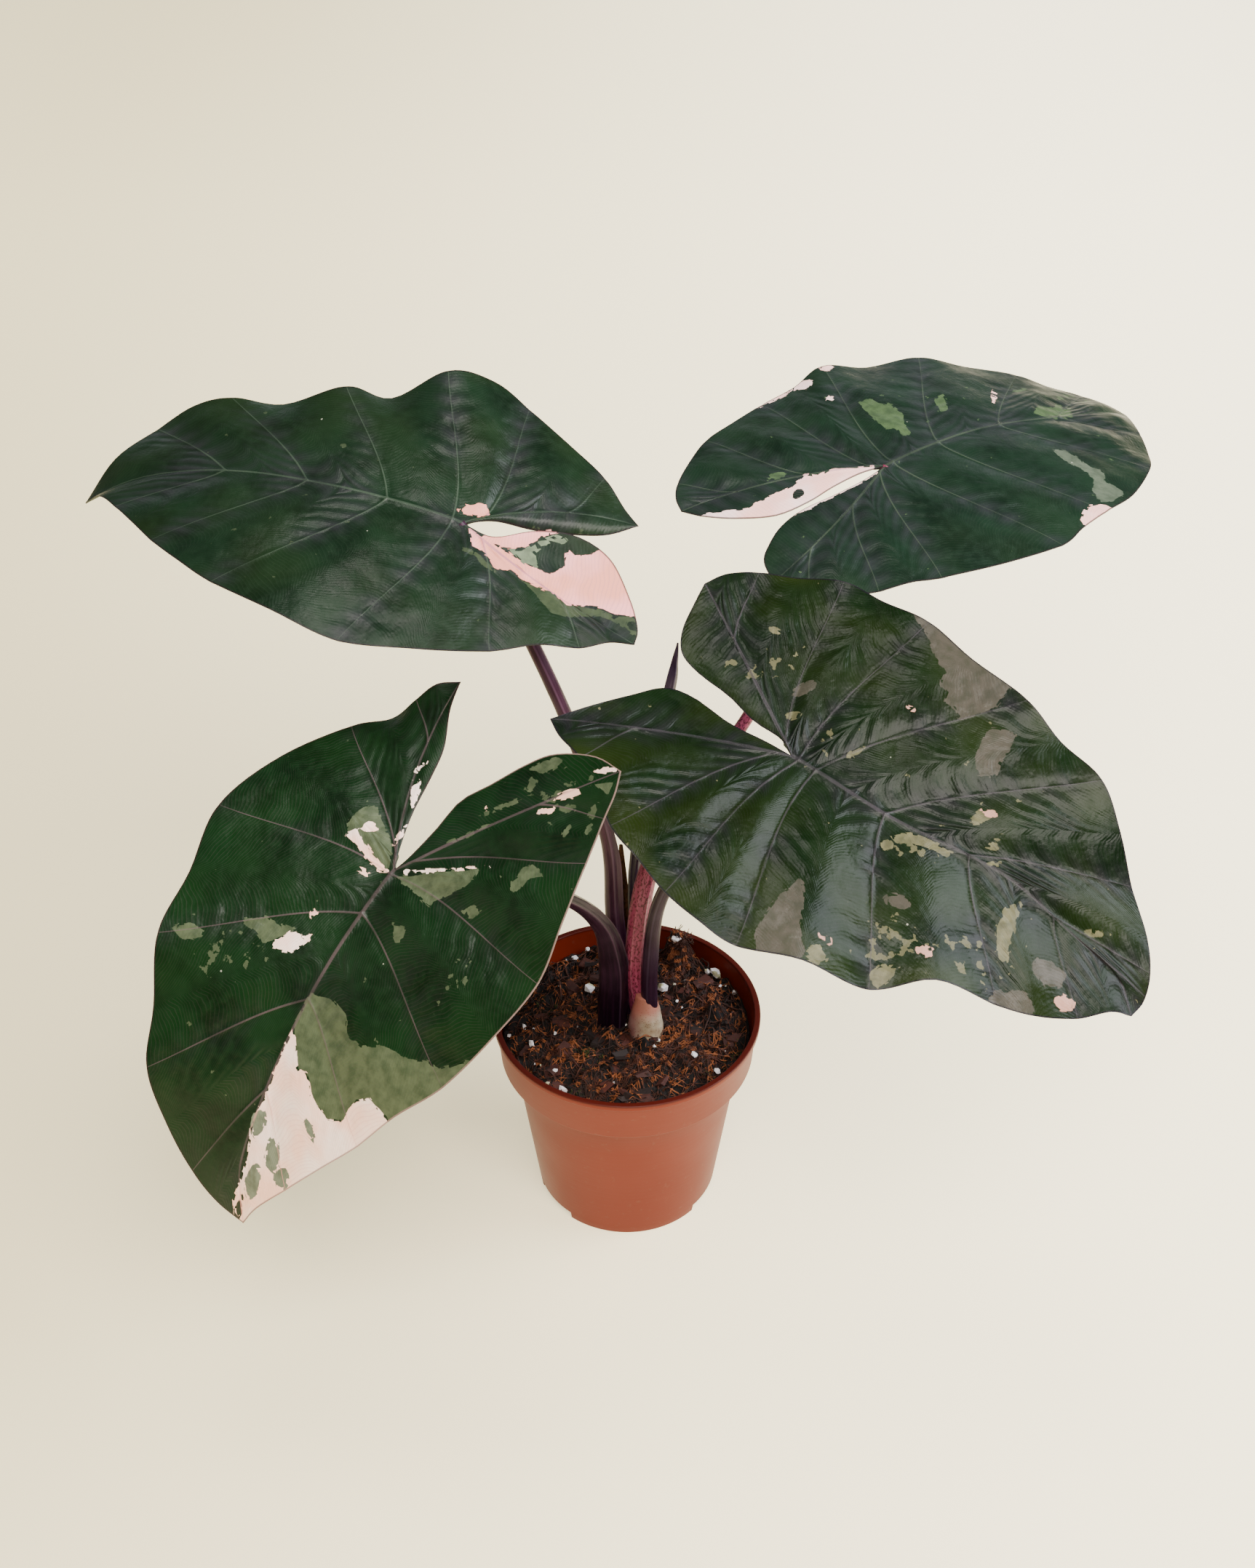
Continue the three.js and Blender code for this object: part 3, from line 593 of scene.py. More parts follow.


# Variegation, by colour: outlines in the blade's plane, and ovals given by their middle,
# half length, half width and turn. Fleck marks are filled with fine specks. Two marks on leaf 3 are
# painted sheen, not variegation.
marks = {
    "leaf_1": {
        "pink": [[(-8, 5), (-10, 1), (-16, -4), (-21, -9), (-34, -14), (-41, -14), (-36, -9),
             (-31, -6), (-30, -3), (-25, 3), (-18, 5)], [(-3, 2), (-7, 10), (-11, 10), (-16, 13),
             (-19, 16), (-24, 15), (-32, 18), (-43, 18), (-50, 21), (-56, 19), (-64, 17), (-70, 18),
             (-75, 16), (-82, 18), (-77, 10), (-70, 1), (-64, -7), (-58, -9), (-54, -9), (-51, -5),
             (-46, -2), (-43, -5), (-41, -1), (-43, 4), (-40, 10), (-36, 10), (-22, 7)],
            (-2, -8, 6, 3, 20)],
        "pale": [[(-8, 12), (-13, 13), (-20, 18), (-14, 17)], [(-30, 18), (-43, 18), (-50, 21),
             (-61, 18), (-68, 19), (-75, 16), (-84, 20), (-80, 25), (-73, 22), (-64, 21), (-55, 25),
             (-46, 28), (-40, 24)], (-28, -11, 3, 1.5, 0), (-45, -16, 4, 2, 0), (-7, 13, 3, 1, 0)],
        "grey": [[(-21, 5), (-26, 3), (-30, -3), (-36, -8), (-42, -7), (-40, -5), (-34, -4),
             (-31, 3), (-34, 9), (-28, 9)]],
        "green": [[(-31, 3), (-33, 0), (-34, -4), (-41, -3), (-43, 4), (-39, 10), (-35, 9)],
            [(-36, -9), (-44, -14), (-52, -12), (-60, -9), (-53, -9), (-51, -5), (-47, -2),
             (-44, -5), (-41, -9)], (-77, 20, 3, 2, 0)],
        "fleck": [(-20, 24, 14, 5, 0), (60, -20, 8, 4, 30)],
    },
    "leaf_2": {
        "pink": [[(-4, 2), (-13, 7), (-18, 11), (-26, 11), (-29, 15), (-40, 12), (-49, 13),
             (-55, 14), (-60, 13), (-75, 24), (-80, 20), (-70, 9), (-57, 1), (-44, -3), (-20, -3),
             (-6, -2)], [(15, 70), (23, 73), (26, 68), (20, 64)], [(53, -62), (62, -64), (62, -70),
             (41, -74), (43, -66)], (38, 72, 4, 2.5, 0), (20, 51, 3, 1.5, 20), (0, 69, 12, 2, 0),
            (90, 22, 8, 0.9, 40)],
        "pale": [[(27, 42), (34, 43), (33, 36), (37, 32), (36, 25), (30, 18), (26, 11), (22, 11),
             (24, 18), (20, 20), (24, 33)], [(60, 29), (66, 30), (62, 24), (56, 17), (52, 19),
             (56, 24)], [(94, 3), (105, 8), (109, 5), (120, 10), (118, 5), (124, 6), (113, -4),
             (105, 0), (99, -2)], (-37, 22, 4, 2, 0), (110, 24, 5, 1.5, 10)],
        "grey": [[(72, -26), (79, -26), (80, -33), (79, -42), (83, -45), (77, -51), (81, -60),
             (75, -61), (67, -63), (60, -62), (65, -54), (72, -49), (73, -43), (71, -34)]],
        "green": [(-40, 7, 3, 2, 30)],
        "fleck": [(132, 14, 20, 9, -8), (18, 51, 7, 5, 0), (112, 3, 14, 7, 10),
            (40, 40, 16, 6, 60)],
    },
    "leaf_3": {
        # painted sheen: the last grey outline, a pale streaked patch at the right margin
        "grey": [[(7, 78), (17, 78), (35, 76), (50, 74), (57, 70), (56, 57), (47, 46), (43, 50),
             (38, 49), (37, 54), (33, 55), (32, 61), (26, 64), (18, 71)], [(58, 49), (68, 54),
             (69, 47), (69, 40), (71, 34), (64, 31), (60, 36)], [(119, -20), (118, -15), (122, -12),
             (130, -12), (131, -18), (127, -22)], [(111, -42), (112, -35), (119, -29), (124, -28),
             (128, -33), (124, -42)], [(36, -82), (30, -74), (29, -60), (33, -42), (36, -49),
             (43, -63), (50, -70), (46, -80)], (-11, 27, 5, 2.5, 60), (66, -30, 5, 3, 20)],
        # painted sheen: the last pale outline, right of the midrib toward the tip
        "pale": [[(72, 13), (71, 16), (72, 20), (78, 24), (77, 20), (76, 16)], [(49, -8), (54, -2),
             (63, 0), (72, 1), (71, -2), (60, -5), (53, -9)], [(81, 9), (82, 14), (84, 17),
             (85, 12)], [(71, -59), (73, -54), (78, -51), (79, -57), (76, -63)], [(49, -72),
             (49, -65), (53, -62), (57, -66), (54, -72)], [(100, -14), (99, -6), (104, 2),
             (105, -8), (110, -23), (107, -26)], (-35, 43, 2, 1.2, 0), (-24, 38, 2, 1, 0),
            (-9, 15, 2.5, 1.5, 40), (88, 7, 3, 1, 40), (50, -12, 2.5, 2.5, 0), (20, 14, 3, 1.2, 60),
            (132, 8, 5, 1.2, 30)],
        "pink": [[(131, -23), (133, -19), (138, -18), (139, -22), (134, -26)], (76, 21, 3, 1.5, 20),
            (84, -41, 3, 2.5, 0), (52, -60, 2.5, 2, 0), (28, 40, 2, 1, 0)],
        "fleck": [(60, -6, 16, 7, 10), (74, -44, 14, 14, 0), (10, 14, 10, 7, 60),
            (-30, 25, 20, 8, 30), (100, -30, 16, 10, 0)],
    },
    "leaf_4": {
        "pale": [[(59, -1), (56, 9), (58, 17), (64, 20), (64, 28), (58, 37), (57, 46), (53, 54),
             (53, 60), (43, 69), (48, 76), (60, 68), (74, 58), (84, 52), (81, 48), (79, 39),
             (83, 34), (93, 32), (96, 26), (93, 18), (86, 12), (87, 8), (74, -2)], [(-5, -29),
             (-13, -27), (-18, -24), (-13, -18), (-9, -9), (-3, -4), (1, -2), (3, -8), (1, -15),
             (-1, -24)], [(2, 2), (3, 12), (4, 24), (2, 23), (-4, 27), (-10, 32), (-15, 33),
             (-20, 33), (-9, 17)], [(52, -40), (45, -33), (45, -29), (43, -21), (39, -18),
             (45, -20), (54, -27), (52, -33)], [(71, -62), (65, -56), (64, -50), (68, -49),
             (72, -56)], [(-19, 47), (-27, 50), (-28, 48), (-33, 51), (-31, 58), (-27, 53),
             (-20, 53)], [(-2, 36), (-6, 39), (-7, 43), (-1, 41)], [(18, 13), (16, 20), (21, 22),
             (23, 19)], [(-32, 19), (-38, 25), (-37, 27), (-32, 23)], [(-55, 28), (-61, 27),
             (-61, 31), (-56, 31)], [(-63, 23), (-70, 27), (-75, 33), (-72, 35), (-66, 33)],
            [(-71, 55), (-75, 61), (-71, 62)], (-46, 25, 7, 0.8, 140), (-26, 17, 5, 0.9, 140),
            (-57, 49, 5, 1.6, 120), (-62, 61, 3, 1.5, 0), (-51, 56, 3, 1.2, 0),
            (-55, 64, 2, 1.2, 0)],
        "pink": [[(74, -1), (87, 8), (86, 12), (93, 18), (96, 26), (93, 32), (83, 34), (79, 39),
             (81, 48), (84, 54), (103, 44), (112, 38), (126, 30), (137, 23), (152, 12), (158, 4),
             (147, 1), (132, 2), (111, -2), (104, 0), (89, -1)], [(0, -26), (-5, -23), (-2, -17),
             (0, -9), (2, -2), (4, -5), (3, -14), (1, -18)], [(-5, -23), (-10, -21), (-10, -15),
             (-6, -18)], [(-2, 4), (-12, 20), (-23, 36), (-22, 36), (-11, 20), (-1, 5)], [(55, -25),
             (49, -23), (44, -21), (42, -17), (44, -12), (51, -16)], [(-57, 42), (-62, 43),
             (-67, 49), (-65, 53), (-61, 48)], [(-32, -18), (-36, -15), (-26, -10), (-24, -11)],
            (8, -10, 3.5, 1, 100), (-53, 43, 4, 1.2, 130), (-79, 56, 5, 1.2, 120),
            (33, -17, 1.6, 1.2, 0), (41, -13, 1.6, 1.2, 0), (-41, -20, 3, 1.5, 0),
            (-13, -7, 4, 1, 0), (-40, 18, 1.5, 1, 0)],
        "grey": [(114, 1, 6, 3, 10), (122, 11, 6, 3, 20), (128, 17, 4, 3, 0), (136, 7, 7, 3, 0),
            (104, 22, 5, 2, 60)],
        "green": [(150, 4, 5, 1.5, 0)],
        "fleck": [(70, -40, 12, 9, 20), (-60, 45, 16, 12, 0), (60, -30, 16, 8, 0),
            (20, 50, 14, 8, 0), (66, 6, 5, 6, 0)],
    },
}

# Each blade's living colours. Dark and light mottle the green, warm yellows it toward the
# margin, and veil greys it near the veins, partly as the blade's own tone and partly as painted
# sheen.
looks = {
    "leaf_1": {
        "dark": "#08180b", "light": "#122616", "warm": "#1d2c10", "veil": "#29292c",
        "veins": "#3d4a3c", "edge": "#1c1418", "edgeLeft": "#1c1418", "pink": "#ffa9a6",
        "blush": "#f09a84", "pale": "#3b4530", "grey": "#6c7a60", "under": "#33442e",
        "pinkVeins": "#ab6f84", "roughness": 0.34, "sheen": 0.24, "veinWidth": 0.42,
        "spineWidth": 0.75, "veinAmount": 0.7, "veilAmount": 0.75, "warmAmount": 0.4,
        "ripple": 0.17, "rippleWidth": 12,
    },
    "leaf_2": {
        "dark": "#07180d", "light": "#102517", "warm": "#1a2b14", "veil": "#2a2b2e",
        "veins": "#3f4a3a", "edge": "#1d161a", "edgeLeft": "#1d161a", "pink": "#ffddd6",
        "blush": "#ffc4b4", "pale": "#465939", "grey": "#545e4d", "under": "#33442e",
        "pinkVeins": "#d0a0a6", "roughness": 0.36, "sheen": 0.28, "veinWidth": 0.4,
        "spineWidth": 0.75, "veinAmount": 0.7, "veilAmount": 0.7, "warmAmount": 0.25,
        "ripple": 0.15, "rippleWidth": 14,
    },
    "leaf_3": {
        "dark": "#051304", "light": "#0e1f0a", "warm": "#222b08", "veil": "#201d22",
        "veins": "#453f44", "edge": "#17121a", "edgeLeft": "#17121a", "pink": "#c0907f",
        "blush": "#a87c6a", "pale": "#646146", "grey": "#454138", "under": "#303f2a",
        "pinkVeins": "#a08078", "roughness": 0.26, "sheen": 0.13, "veinWidth": 0.5,
        "spineWidth": 1.0, "veinAmount": 0.55, "veilAmount": 0.65, "warmAmount": 0.6,
        "ripple": 0.2, "rippleWidth": 17,
    },
    "leaf_4": {
        "dark": "#041706", "light": "#0a270e", "warm": "#122b0b", "veil": "#1b221c",
        "veins": "#655156", "edge": "#2a171c", "edgeLeft": "#8a6f68", "pink": "#ffe6d8",
        "blush": "#ffcab0", "pale": "#4d573f", "grey": "#6c7562", "under": "#30402c",
        "pinkVeins": "#d8968c", "roughness": 0.34, "sheen": 0.2, "veinWidth": 0.5,
        "spineWidth": 0.95, "veinAmount": 0.5, "veilAmount": 0.5, "warmAmount": 0.25,
        "ripple": 0.14, "rippleWidth": 14,
    },
}
skinPattern = {
    "mottleSize": 26,
    "fineSize": 4.5,
    "cellSize": 2.4,        # the blade's cells, which the edges of its sectors follow
    "jag": 1.3,
    "wander": 7,            # folds and veinlets stray this far, with noise of warpSize
    "warpSize": 15,
    "rippleSpacing": 9,
    "veinletSpacing": 1.5,
    "veinletRelief": 0.02,
    "netSize": 1.6,         # the net of the smallest veins
    "netRelief": 0.03,
    "fineRelief": 0.25,
    "speckSize": 5,
    "dotSize": 17,
    "dotColour": "#c8c8b4",
}


# A living aroid blade: a waxy skin over mottled green. Its folds and veinlets slant from the
# side veins, and its pale sectors keep to its cells, so their edges are jagged.
def bladeMaterial(name, look):
    material, shader, add = newMaterial(name + " living skin", look["roughness"])
    skin = skinPattern
    read = {key: add("Attribute", attribute_name=key).outputs["Fac"]
            for key in bladeReadings + markColours}
    plan = add("Attribute", attribute_name="plan").outputs["Vector"]
    broad, fine, warp, speck = [
        add("TexNoise", {"Vector": plan, "Scale": 1 / skin[size], "Detail": detail})
        for size, detail in (("mottleSize", 3), ("fineSize", 4), ("warpSize", 1), ("speckSize", 3))]

    # folds and veinlets run along the weave, in turns of a wave
    bent = add("Math", [warp, skin["wander"]], operation="MULTIPLY")
    course = add("Math", [read["weave"], bent], operation="ADD")
    fold, veinlet = [
        add("Math", [add("Math", [course, 2 * math.pi / skin[spacing]], operation="MULTIPLY")],
            operation="SINE") for spacing in ("rippleSpacing", "veinletSpacing")]

    # the living green
    mottle = add("MapRange", [broad, 0.38, 0.62])
    grain = add("MapRange", [fine, 0.45, 0.7, 0, 0.6])
    warm = add("Math", [read["outward"], look["warmAmount"]], operation="MULTIPLY")
    # painted sheen: the grey veil is strongest on the crests of the folds
    foldCrestSheen = add("MapRange", [fold, -1, 1, 0.3])
    veil = add("Math", [read["veil"], foldCrestSheen], operation="MULTIPLY")
    veil = add("Math", [veil, look["veilAmount"]], operation="MULTIPLY")
    green = add("MixRGB", [mottle, look["dark"], look["light"]])
    for by, over in ((grain, "light"), (warm, "warm"), (veil, "veil")):
        green = add("MixRGB", [by, green, look[over]])

    # sectors: a mark's field, moved in and out cell by cell, cuts to a jagged edge
    cells = add("TexVoronoi", {"Vector": plan, "Scale": 1 / skin["cellSize"]})
    cellTone = add("SeparateColor", [cells.outputs["Color"]])
    jag = add("Math", [cellTone, fine], operation="ADD")
    jag = add("MapRange", [jag, 0, 2, -skin["jag"], skin["jag"]], clamp=False)
    masks = {}
    for key in ("pale", "pink", "grey", "green"):
        moved = add("Math", [read[key], jag], operation="ADD")
        masks[key] = add("MapRange", [moved, -0.1, 0.1])
    lifted = add("MapRange", [read["fleck"], -2, 5, -0.16, 0])
    speck = add("Math", [speck, lifted], operation="ADD")
    flecks = add("MapRange", [speck, 0.56, 0.58, 0, 0.7])
    paleTone, greyTone = [
        add("MixRGB", [add("MapRange", [fine, 0.4, 0.65, 0, most]), look[key], green])
        for key, most in (("pale", 0.45), ("grey", 0.4))]
    blush = add("MapRange", [broad, 0.42, 0.6])
    streak = add("MapRange", [veinlet, 0.2, 1, 0, 0.16])
    pinkTone = add("MixRGB", [blush, look["pink"], look["blush"]])
    pinkTone = add("MixRGB", [streak, pinkTone, look["pinkVeins"]])
    dots = add("TexVoronoi", {"Vector": plan, "Scale": 1 / skin["dotSize"]})
    dot = add("MapRange", [dots, 0.018, 0.026, 0.6, 0])

    # veins, and the margin's dark thread
    veinTone = add("MixRGB", [masks["pink"], look["veins"], look["pinkVeins"]])
    thin = add("MapRange", [veinlet, 0.75, 1, 0, 0.16])
    thin = add("Math", [thin, broad], operation="MULTIPLY")
    vein = add("MapRange", [read["line"], 0.6, 1.1, look["veinAmount"], 0])
    worn = add("MapRange", [broad, 0.4, 0.6, 0.45])
    vein = add("Math", [vein, worn], operation="MULTIPLY")
    rim = add("MapRange", [read["edgeGap"], 0.35, 0.7, 0.85, 0])
    leftward = add("MapRange", [add("SeparateXYZ", [plan]).outputs["Y"], 0, 20])
    rimTone = add("MixRGB", [leftward, look["edge"], look["edgeLeft"]])

    colour = green
    for by, over in (
            (flecks, look["pale"]), (masks["pale"], paleTone), (masks["pink"], pinkTone),
            (masks["grey"], greyTone), (masks["green"], green), (dot, skin["dotColour"]),
            (thin, veinTone), (vein, veinTone), (rim, rimTone)):
        colour = add("MixRGB", [by, colour, over])

    # below it is duller, with some of the colours above showing through
    below = add("MapRange", [read["under"], 0.45, 0.55])
    underTone = add("MixRGB", [0.35, look["under"], colour])
    colour = add("MixRGB", [below, colour, underTone])

    # relief in millimetres, then in metres
    net = add("TexVoronoi", {"Vector": plan, "Scale": 1 / skin["netSize"]}, feature="SMOOTH_F1")
    relief = add("Math", [fold, read["ripple"]], operation="MULTIPLY")
    for part, by in ((net, -skin["netRelief"] * 2), (veinlet, skin["veinletRelief"] / 2),
                     (fine, skin["fineRelief"])):
        part = add("Math", [part, by], operation="MULTIPLY")
        relief = add("Math", [relief, part], operation="ADD")
    relief = add("Math", [relief, mm], operation="MULTIPLY")
    gloss = add("MapRange", [fine, 0.3, 0.7, look["roughness"] - 0.05, look["roughness"] + 0.08])
    dull = add("Math", [below, 0.2], operation="MULTIPLY")
    fill(shader, {
        "Base Color": colour,
        "Roughness": add("Math", [gloss, dull], operation="ADD"),
        "Specular IOR Level": look["sheen"],
        "Normal": add("Bump", {"Height": relief, "Distance": 1.0, "Strength": 1.0}),
    })
    return material


# Stalks by points up from the corm: x, y, z, half width, half depth
stalks = {
    "petiole_1": [
        (0, 9, 86, 4.2, 4), (-1, 9, 110, 4, 3.8), (-5.5, 7.5, 150, 3.8, 3.4),
        (-8, 7, 195, 3.3, 3.1), (-22, 12, 246, 3.1, 3), (-38, 18, 287, 2.9, 2.8),
        (-54, 25, 320, 2.6, 2.6),
    ],
    "petiole_2": [
        (5.5, 0, 98, 3.6, 3), (3.5, -1, 135, 4.4, 3.2), (9, 3, 180, 4.2, 3),
        (26, 15, 212, 3.2, 2.8), (50, 38, 234, 2.8, 2.7), (74, 66, 266, 2.6, 2.6),
        (98, 94, 301, 2.6, 2.6),
    ],
    "petiole_3": [
        (10.5, -4, 98, 3.6, 3.2), (10, -6, 132, 3.6, 3.2), (13.5, -9, 172, 3.1, 3.1),
        (26, -15, 206, 2.7, 2.7), (43, -27, 238, 2.6, 2.6), (56, -38, 264, 2.6, 2.6),
    ],
    "petiole_4": [
        (-7, -1, 84, 6.4, 5.2), (-6.4, -1, 108, 6.6, 5.2), (-6.2, -2.5, 132, 6.2, 4.8),
        (-10.5, -7, 158, 4.4, 4), (-23.5, -20, 184, 3.1, 3.1), (-47, -43, 213, 2.8, 2.8),
        (-71, -68, 239, 2.6, 2.6),
    ],
    "new_leaf": [
        (8, 6.5, 96, 3.2, 3), (4, 10, 150, 3.2, 3), (4, 11, 184, 2.6, 2.6),
        (10, 11, 230, 2.2, 2.2), (17.5, 12, 269, 2.3, 2.3), (19.5, 14, 281, 1.2, 1.2),
        (20.4, 15, 289, 0.4, 0.4),
    ],
    "dried_sheath": [
        (1, 14.5, 88, 4, 0.8), (-0.5, 14, 130, 3.4, 0.7), (-2, 13.5, 165, 2.4, 0.6),
        (-2.5, 13, 187, 0.8, 0.5),
    ],
}
stalkShape = {
    "sides": 36, "rings": 130,
    "rootedIn": 1.2, "topRadii": (2.2, 2.0),    # a stalk's top, this far inside its blade
    "ribRise": 14, "ribFall": 9,                # how fast a rib comes and goes along it
    "wave": 0.03, "waveLength": 14,
}
# Ribs and sheath edges on a stalk: where round it in degrees (0 faces right, 270 the front),
# from and to along it as a share, height and width in millimetres
stalkRibs = {
    "petiole_1": [(330, 0.0, 0.5, 1.5, 0.7), (285, 0.0, 0.95, 0.3, 0.9)],
    "petiole_2": [(300, 0.0, 0.34, 0.9, 0.7), (250, 0.0, 0.3, 0.5, 0.7), (0, 0.0, 0.3, 0.9, 0.9)],
    "petiole_3": [(255, 0.0, 1.0, 0.3, 0.8)],
    "petiole_4": [(350, 0.1, 0.62, 1.1, 0.7), (300, 0.0, 0.9, 0.35, 1.1)],
    "new_leaf": [(290, 0.3, 0.97, 0.5, 0.5), (200, 0.6, 0.97, 0.5, 0.5)],
    "dried_sheath": [(270, 0.0, 0.8, 0.3, 0.5), (300, 0.0, 0.7, 0.3, 0.4)],
}
stalkLooks = {
    # name: base, bloom and painted highlight, fleck, streak, roughness, how much bloom and
    # highlight, flecks and streaks
    "petiole_1": ("#2a0f22", "#6f5270", "#14070f", "#592a48", 0.34, 0.3, 0.1, 0.35),
    "petiole_2": ("#782c48", "#c98a9c", "#380a18", "#a8526e", 0.4, 0.2, 0.8, 0.45),
    "petiole_3": ("#1f0e1e", "#6d5f7c", "#0e060d", "#40263e", 0.28, 0.22, 0.15, 0.25),
    "petiole_4": ("#130612", "#74546f", "#070307", "#3a1c34", 0.3, 0.22, 0.12, 0.35),
    "new_leaf": ("#201224", "#7d7490", "#100612", "#43324b", 0.3, 0.35, 0.1, 0.3),
    "dried_sheath": ("#3e2514", "#8a663f", "#1d1009", "#66452a", 0.85, 0.3, 0.5, 0.9),
}


# A waxy living stalk: dark skin, a pale bloom in patches and on its crown lines, where it is also a
# painted highlight, lengthwise streaks, flecks
def stalkMaterial(name):
    base, bloomAndHighlight, fleck, streak, roughness, bloomAndHighlightBy, fleckBy, streakBy = stalkLooks[name]
    material, shader, add = newMaterial(name + " skin", roughness)
    skin = add("Attribute", attribute_name="skin").outputs["Vector"]
    ribs = add("Attribute", attribute_name="rib").outputs["Fac"]
    long = add("Mapping", {"Vector": skin, "Scale": (0.9, 0.9, 0.035)})
    grain = add("TexNoise", {"Vector": long, "Scale": 1.0, "Detail": 4})
    short = add("Mapping", {"Vector": skin, "Scale": (1.3, 1.3, 0.6)})
    spots = add("TexNoise", {"Vector": short, "Scale": 1.0, "Detail": 3})
    patch = add("TexNoise", {"Vector": skin, "Scale": 0.05, "Detail": 2})
    colour = base
    # the bloom colour in patches is the stalk's own; on the crown lines it is also a painted
    # highlight
    for source, low, high, most, over in (
            (grain, 0.45, 0.7, streakBy, streak), (patch, 0.45, 0.7, bloomAndHighlightBy * 0.4, bloomAndHighlight),
            (spots, 0.52, 0.57, fleckBy, fleck), (ribs, 0.55, 1, bloomAndHighlightBy, bloomAndHighlight)):
        tone = add("MapRange", [source, low, high, 0, most])
        colour = add("MixRGB", [tone, colour, over])
    relief = add("Math", [grain, 0.5 * mm], operation="MULTIPLY")
    raised = add("Bump", {"Height": relief, "Distance": 1.0, "Strength": 0.5})
    fill(shader, {"Base Color": colour, "Normal": raised, "Specular IOR Level": 0.22})
    return material


def makeStalk(name, points, leaf=None):
    points = list(points)
    if leaf:
        foot = bladeHeight(leaf["form"], 0, 0) - stalkShape["rootedIn"]
        points.append((*(bladeMatrix(leaf) @ Vector((1.5, 0, foot))), *stalkShape["topRadii"]))
    last = len(points) - 1
    sides, rings = stalkShape["sides"], stalkShape["rings"]
    frames, along = [], 0
    for r in range(rings + 1):
        t = r / rings * last
        x, y, z, wide, deep = through(points, t)
        ahead, behind = [Vector(through(points, near)[:3])
                         for near in (min(t + 0.01, last), max(t - 0.01, 0))]
        tangent = (ahead - behind).normalized()
        back = Vector((0, 1, 0))
        back = (back - tangent * back.dot(tangent)).normalized()
        centre = Vector((x, y, z))
        if frames:
            along += (centre - frames[-1][0]).length
        frames.append((centre, back.cross(tangent), back, wide, deep, along))
    bm = bmesh.new()
    skin = bm.verts.layers.float_vector.new("skin")
    ribLayer = bm.verts.layers.float.new("rib")
    bmesh.ops.create_grid(bm, x_segments=sides, y_segments=rings, size=1)
    for vert in bm.verts:
        turn = (vert.co.x + 1) * math.pi
        share = (vert.co.y + 1) / 2
        centre, across, back, wide, deep, run = frames[round(share * rings)]
        grow, rib = 0, 0
        for degrees, start, end, height, width in stalkRibs.get(name, []):
            away = (math.degrees(turn) - degrees + 180) % 360 - 180
            off = math.radians(away) * max(wide, deep)
            inRange = clamp((share - start) * stalkShape["ribRise"] + (start == 0))
            inRange *= clamp((end - share) * stalkShape["ribFall"] + (end >= 1))
            grow += height * bump(off, width) * inRange
            rib = max(rib, bump(off, width * 0.7) * inRange)
        place = Vector((math.cos(turn), math.sin(turn), run / stalkShape["waveLength"]))
        wave = 1 + stalkShape["wave"] * noise.noise(place * 1.3)
        vert[skin] = Vector((wide * math.cos(turn), deep * math.sin(turn), run))
        vert[ribLayer] = rib
        vert.co = centre + (across * (wide * wave + grow) * math.cos(turn)
                            + back * (deep * wave + grow) * math.sin(turn))
    bmesh.ops.remove_doubles(bm, verts=bm.verts, dist=0.001)
    closePiece(bm)
    return finishPiece(bm, name.replace("_", "Skin"), stalkMaterial(name), sharpAngle=70)


# The corm: a squat bulb under the stalks
corm = {
    "at": (8.5, -3.5),
    "profile": [(0.2, 78), (5, 78.4), (7.4, 85), (8, 94), (7.6, 101), (6.3, 107), (5, 112),
                (4.5, 116), (0.2, 117)],
    "neckStart": 103, "lump": 0.5,
    "cream": "#c0b398", "tan": "#957b5e", "freckle": "#6b4a33", "blush": "#7d3f46",
    "neck": "#a05a4e",
}


# Young corm skin: cream, finely speckled brown, reddish at its neck and toward the stalks
def cormMaterial():
    material, shader, add = newMaterial("corm skin", 0.62)
    place = add("TexCoord").outputs["Object"]
    freckles = add("TexVoronoi", {"Vector": place, "Scale": 900})
    dot = add("MapRange", [freckles, 0.16, 0.3, 0.7, 0])
    mottle = add("TexNoise", {"Vector": place, "Scale": 160, "Detail": 4})
    across = add("SeparateXYZ", [place])
    blush = add("MapRange", [across, 3 * mm, 8 * mm, 0.8, 0])
    neck = add("MapRange", [across.outputs["Z"], corm["neckStart"] * mm,
                            (corm["neckStart"] + 6) * mm, 0, 0.85])
    colour = corm["cream"]
    for by, over in ((add("MapRange", [mottle, 0.4, 0.7]), "tan"), (dot, "freckle"),
                     (blush, "blush"), (neck, "neck")):
        colour = add("MixRGB", [by, colour, corm[over]])
    raised = add("Bump", {"Height": mottle, "Distance": 0.4 * mm, "Strength": 0.6})
    fill(shader, {"Base Color": colour, "Normal": raised})
    return material


def makeCorm():
    bm = bmesh.new()
    chain = [bm.verts.new((r, 0, z)) for r, z in corm["profile"]]
    edges = [bm.edges.new(pair) for pair in zip(chain, chain[1:])]
    bmesh.ops.subdivide_edges(bm, edges=edges, cuts=3, smooth=1.0)
    spinRound(bm, 48)
    bmesh.ops.remove_doubles(bm, verts=bm.verts, dist=0.01)
    fillHoles(bm)
    for vert in bm.verts:
        push = 1 + corm["lump"] / 7 * noise.noise(vert.co / 5)
        vert.co.x, vert.co.y = vert.co.x * push, vert.co.y * push
    bmesh.ops.recalc_face_normals(bm, faces=bm.faces)
    bmesh.ops.translate(bm, verts=bm.verts, vec=(*corm["at"], 0))
    bm.transform(Matrix.Scale(mm, 4))
    return finishPiece(bm, "cormBulb", cormMaterial())


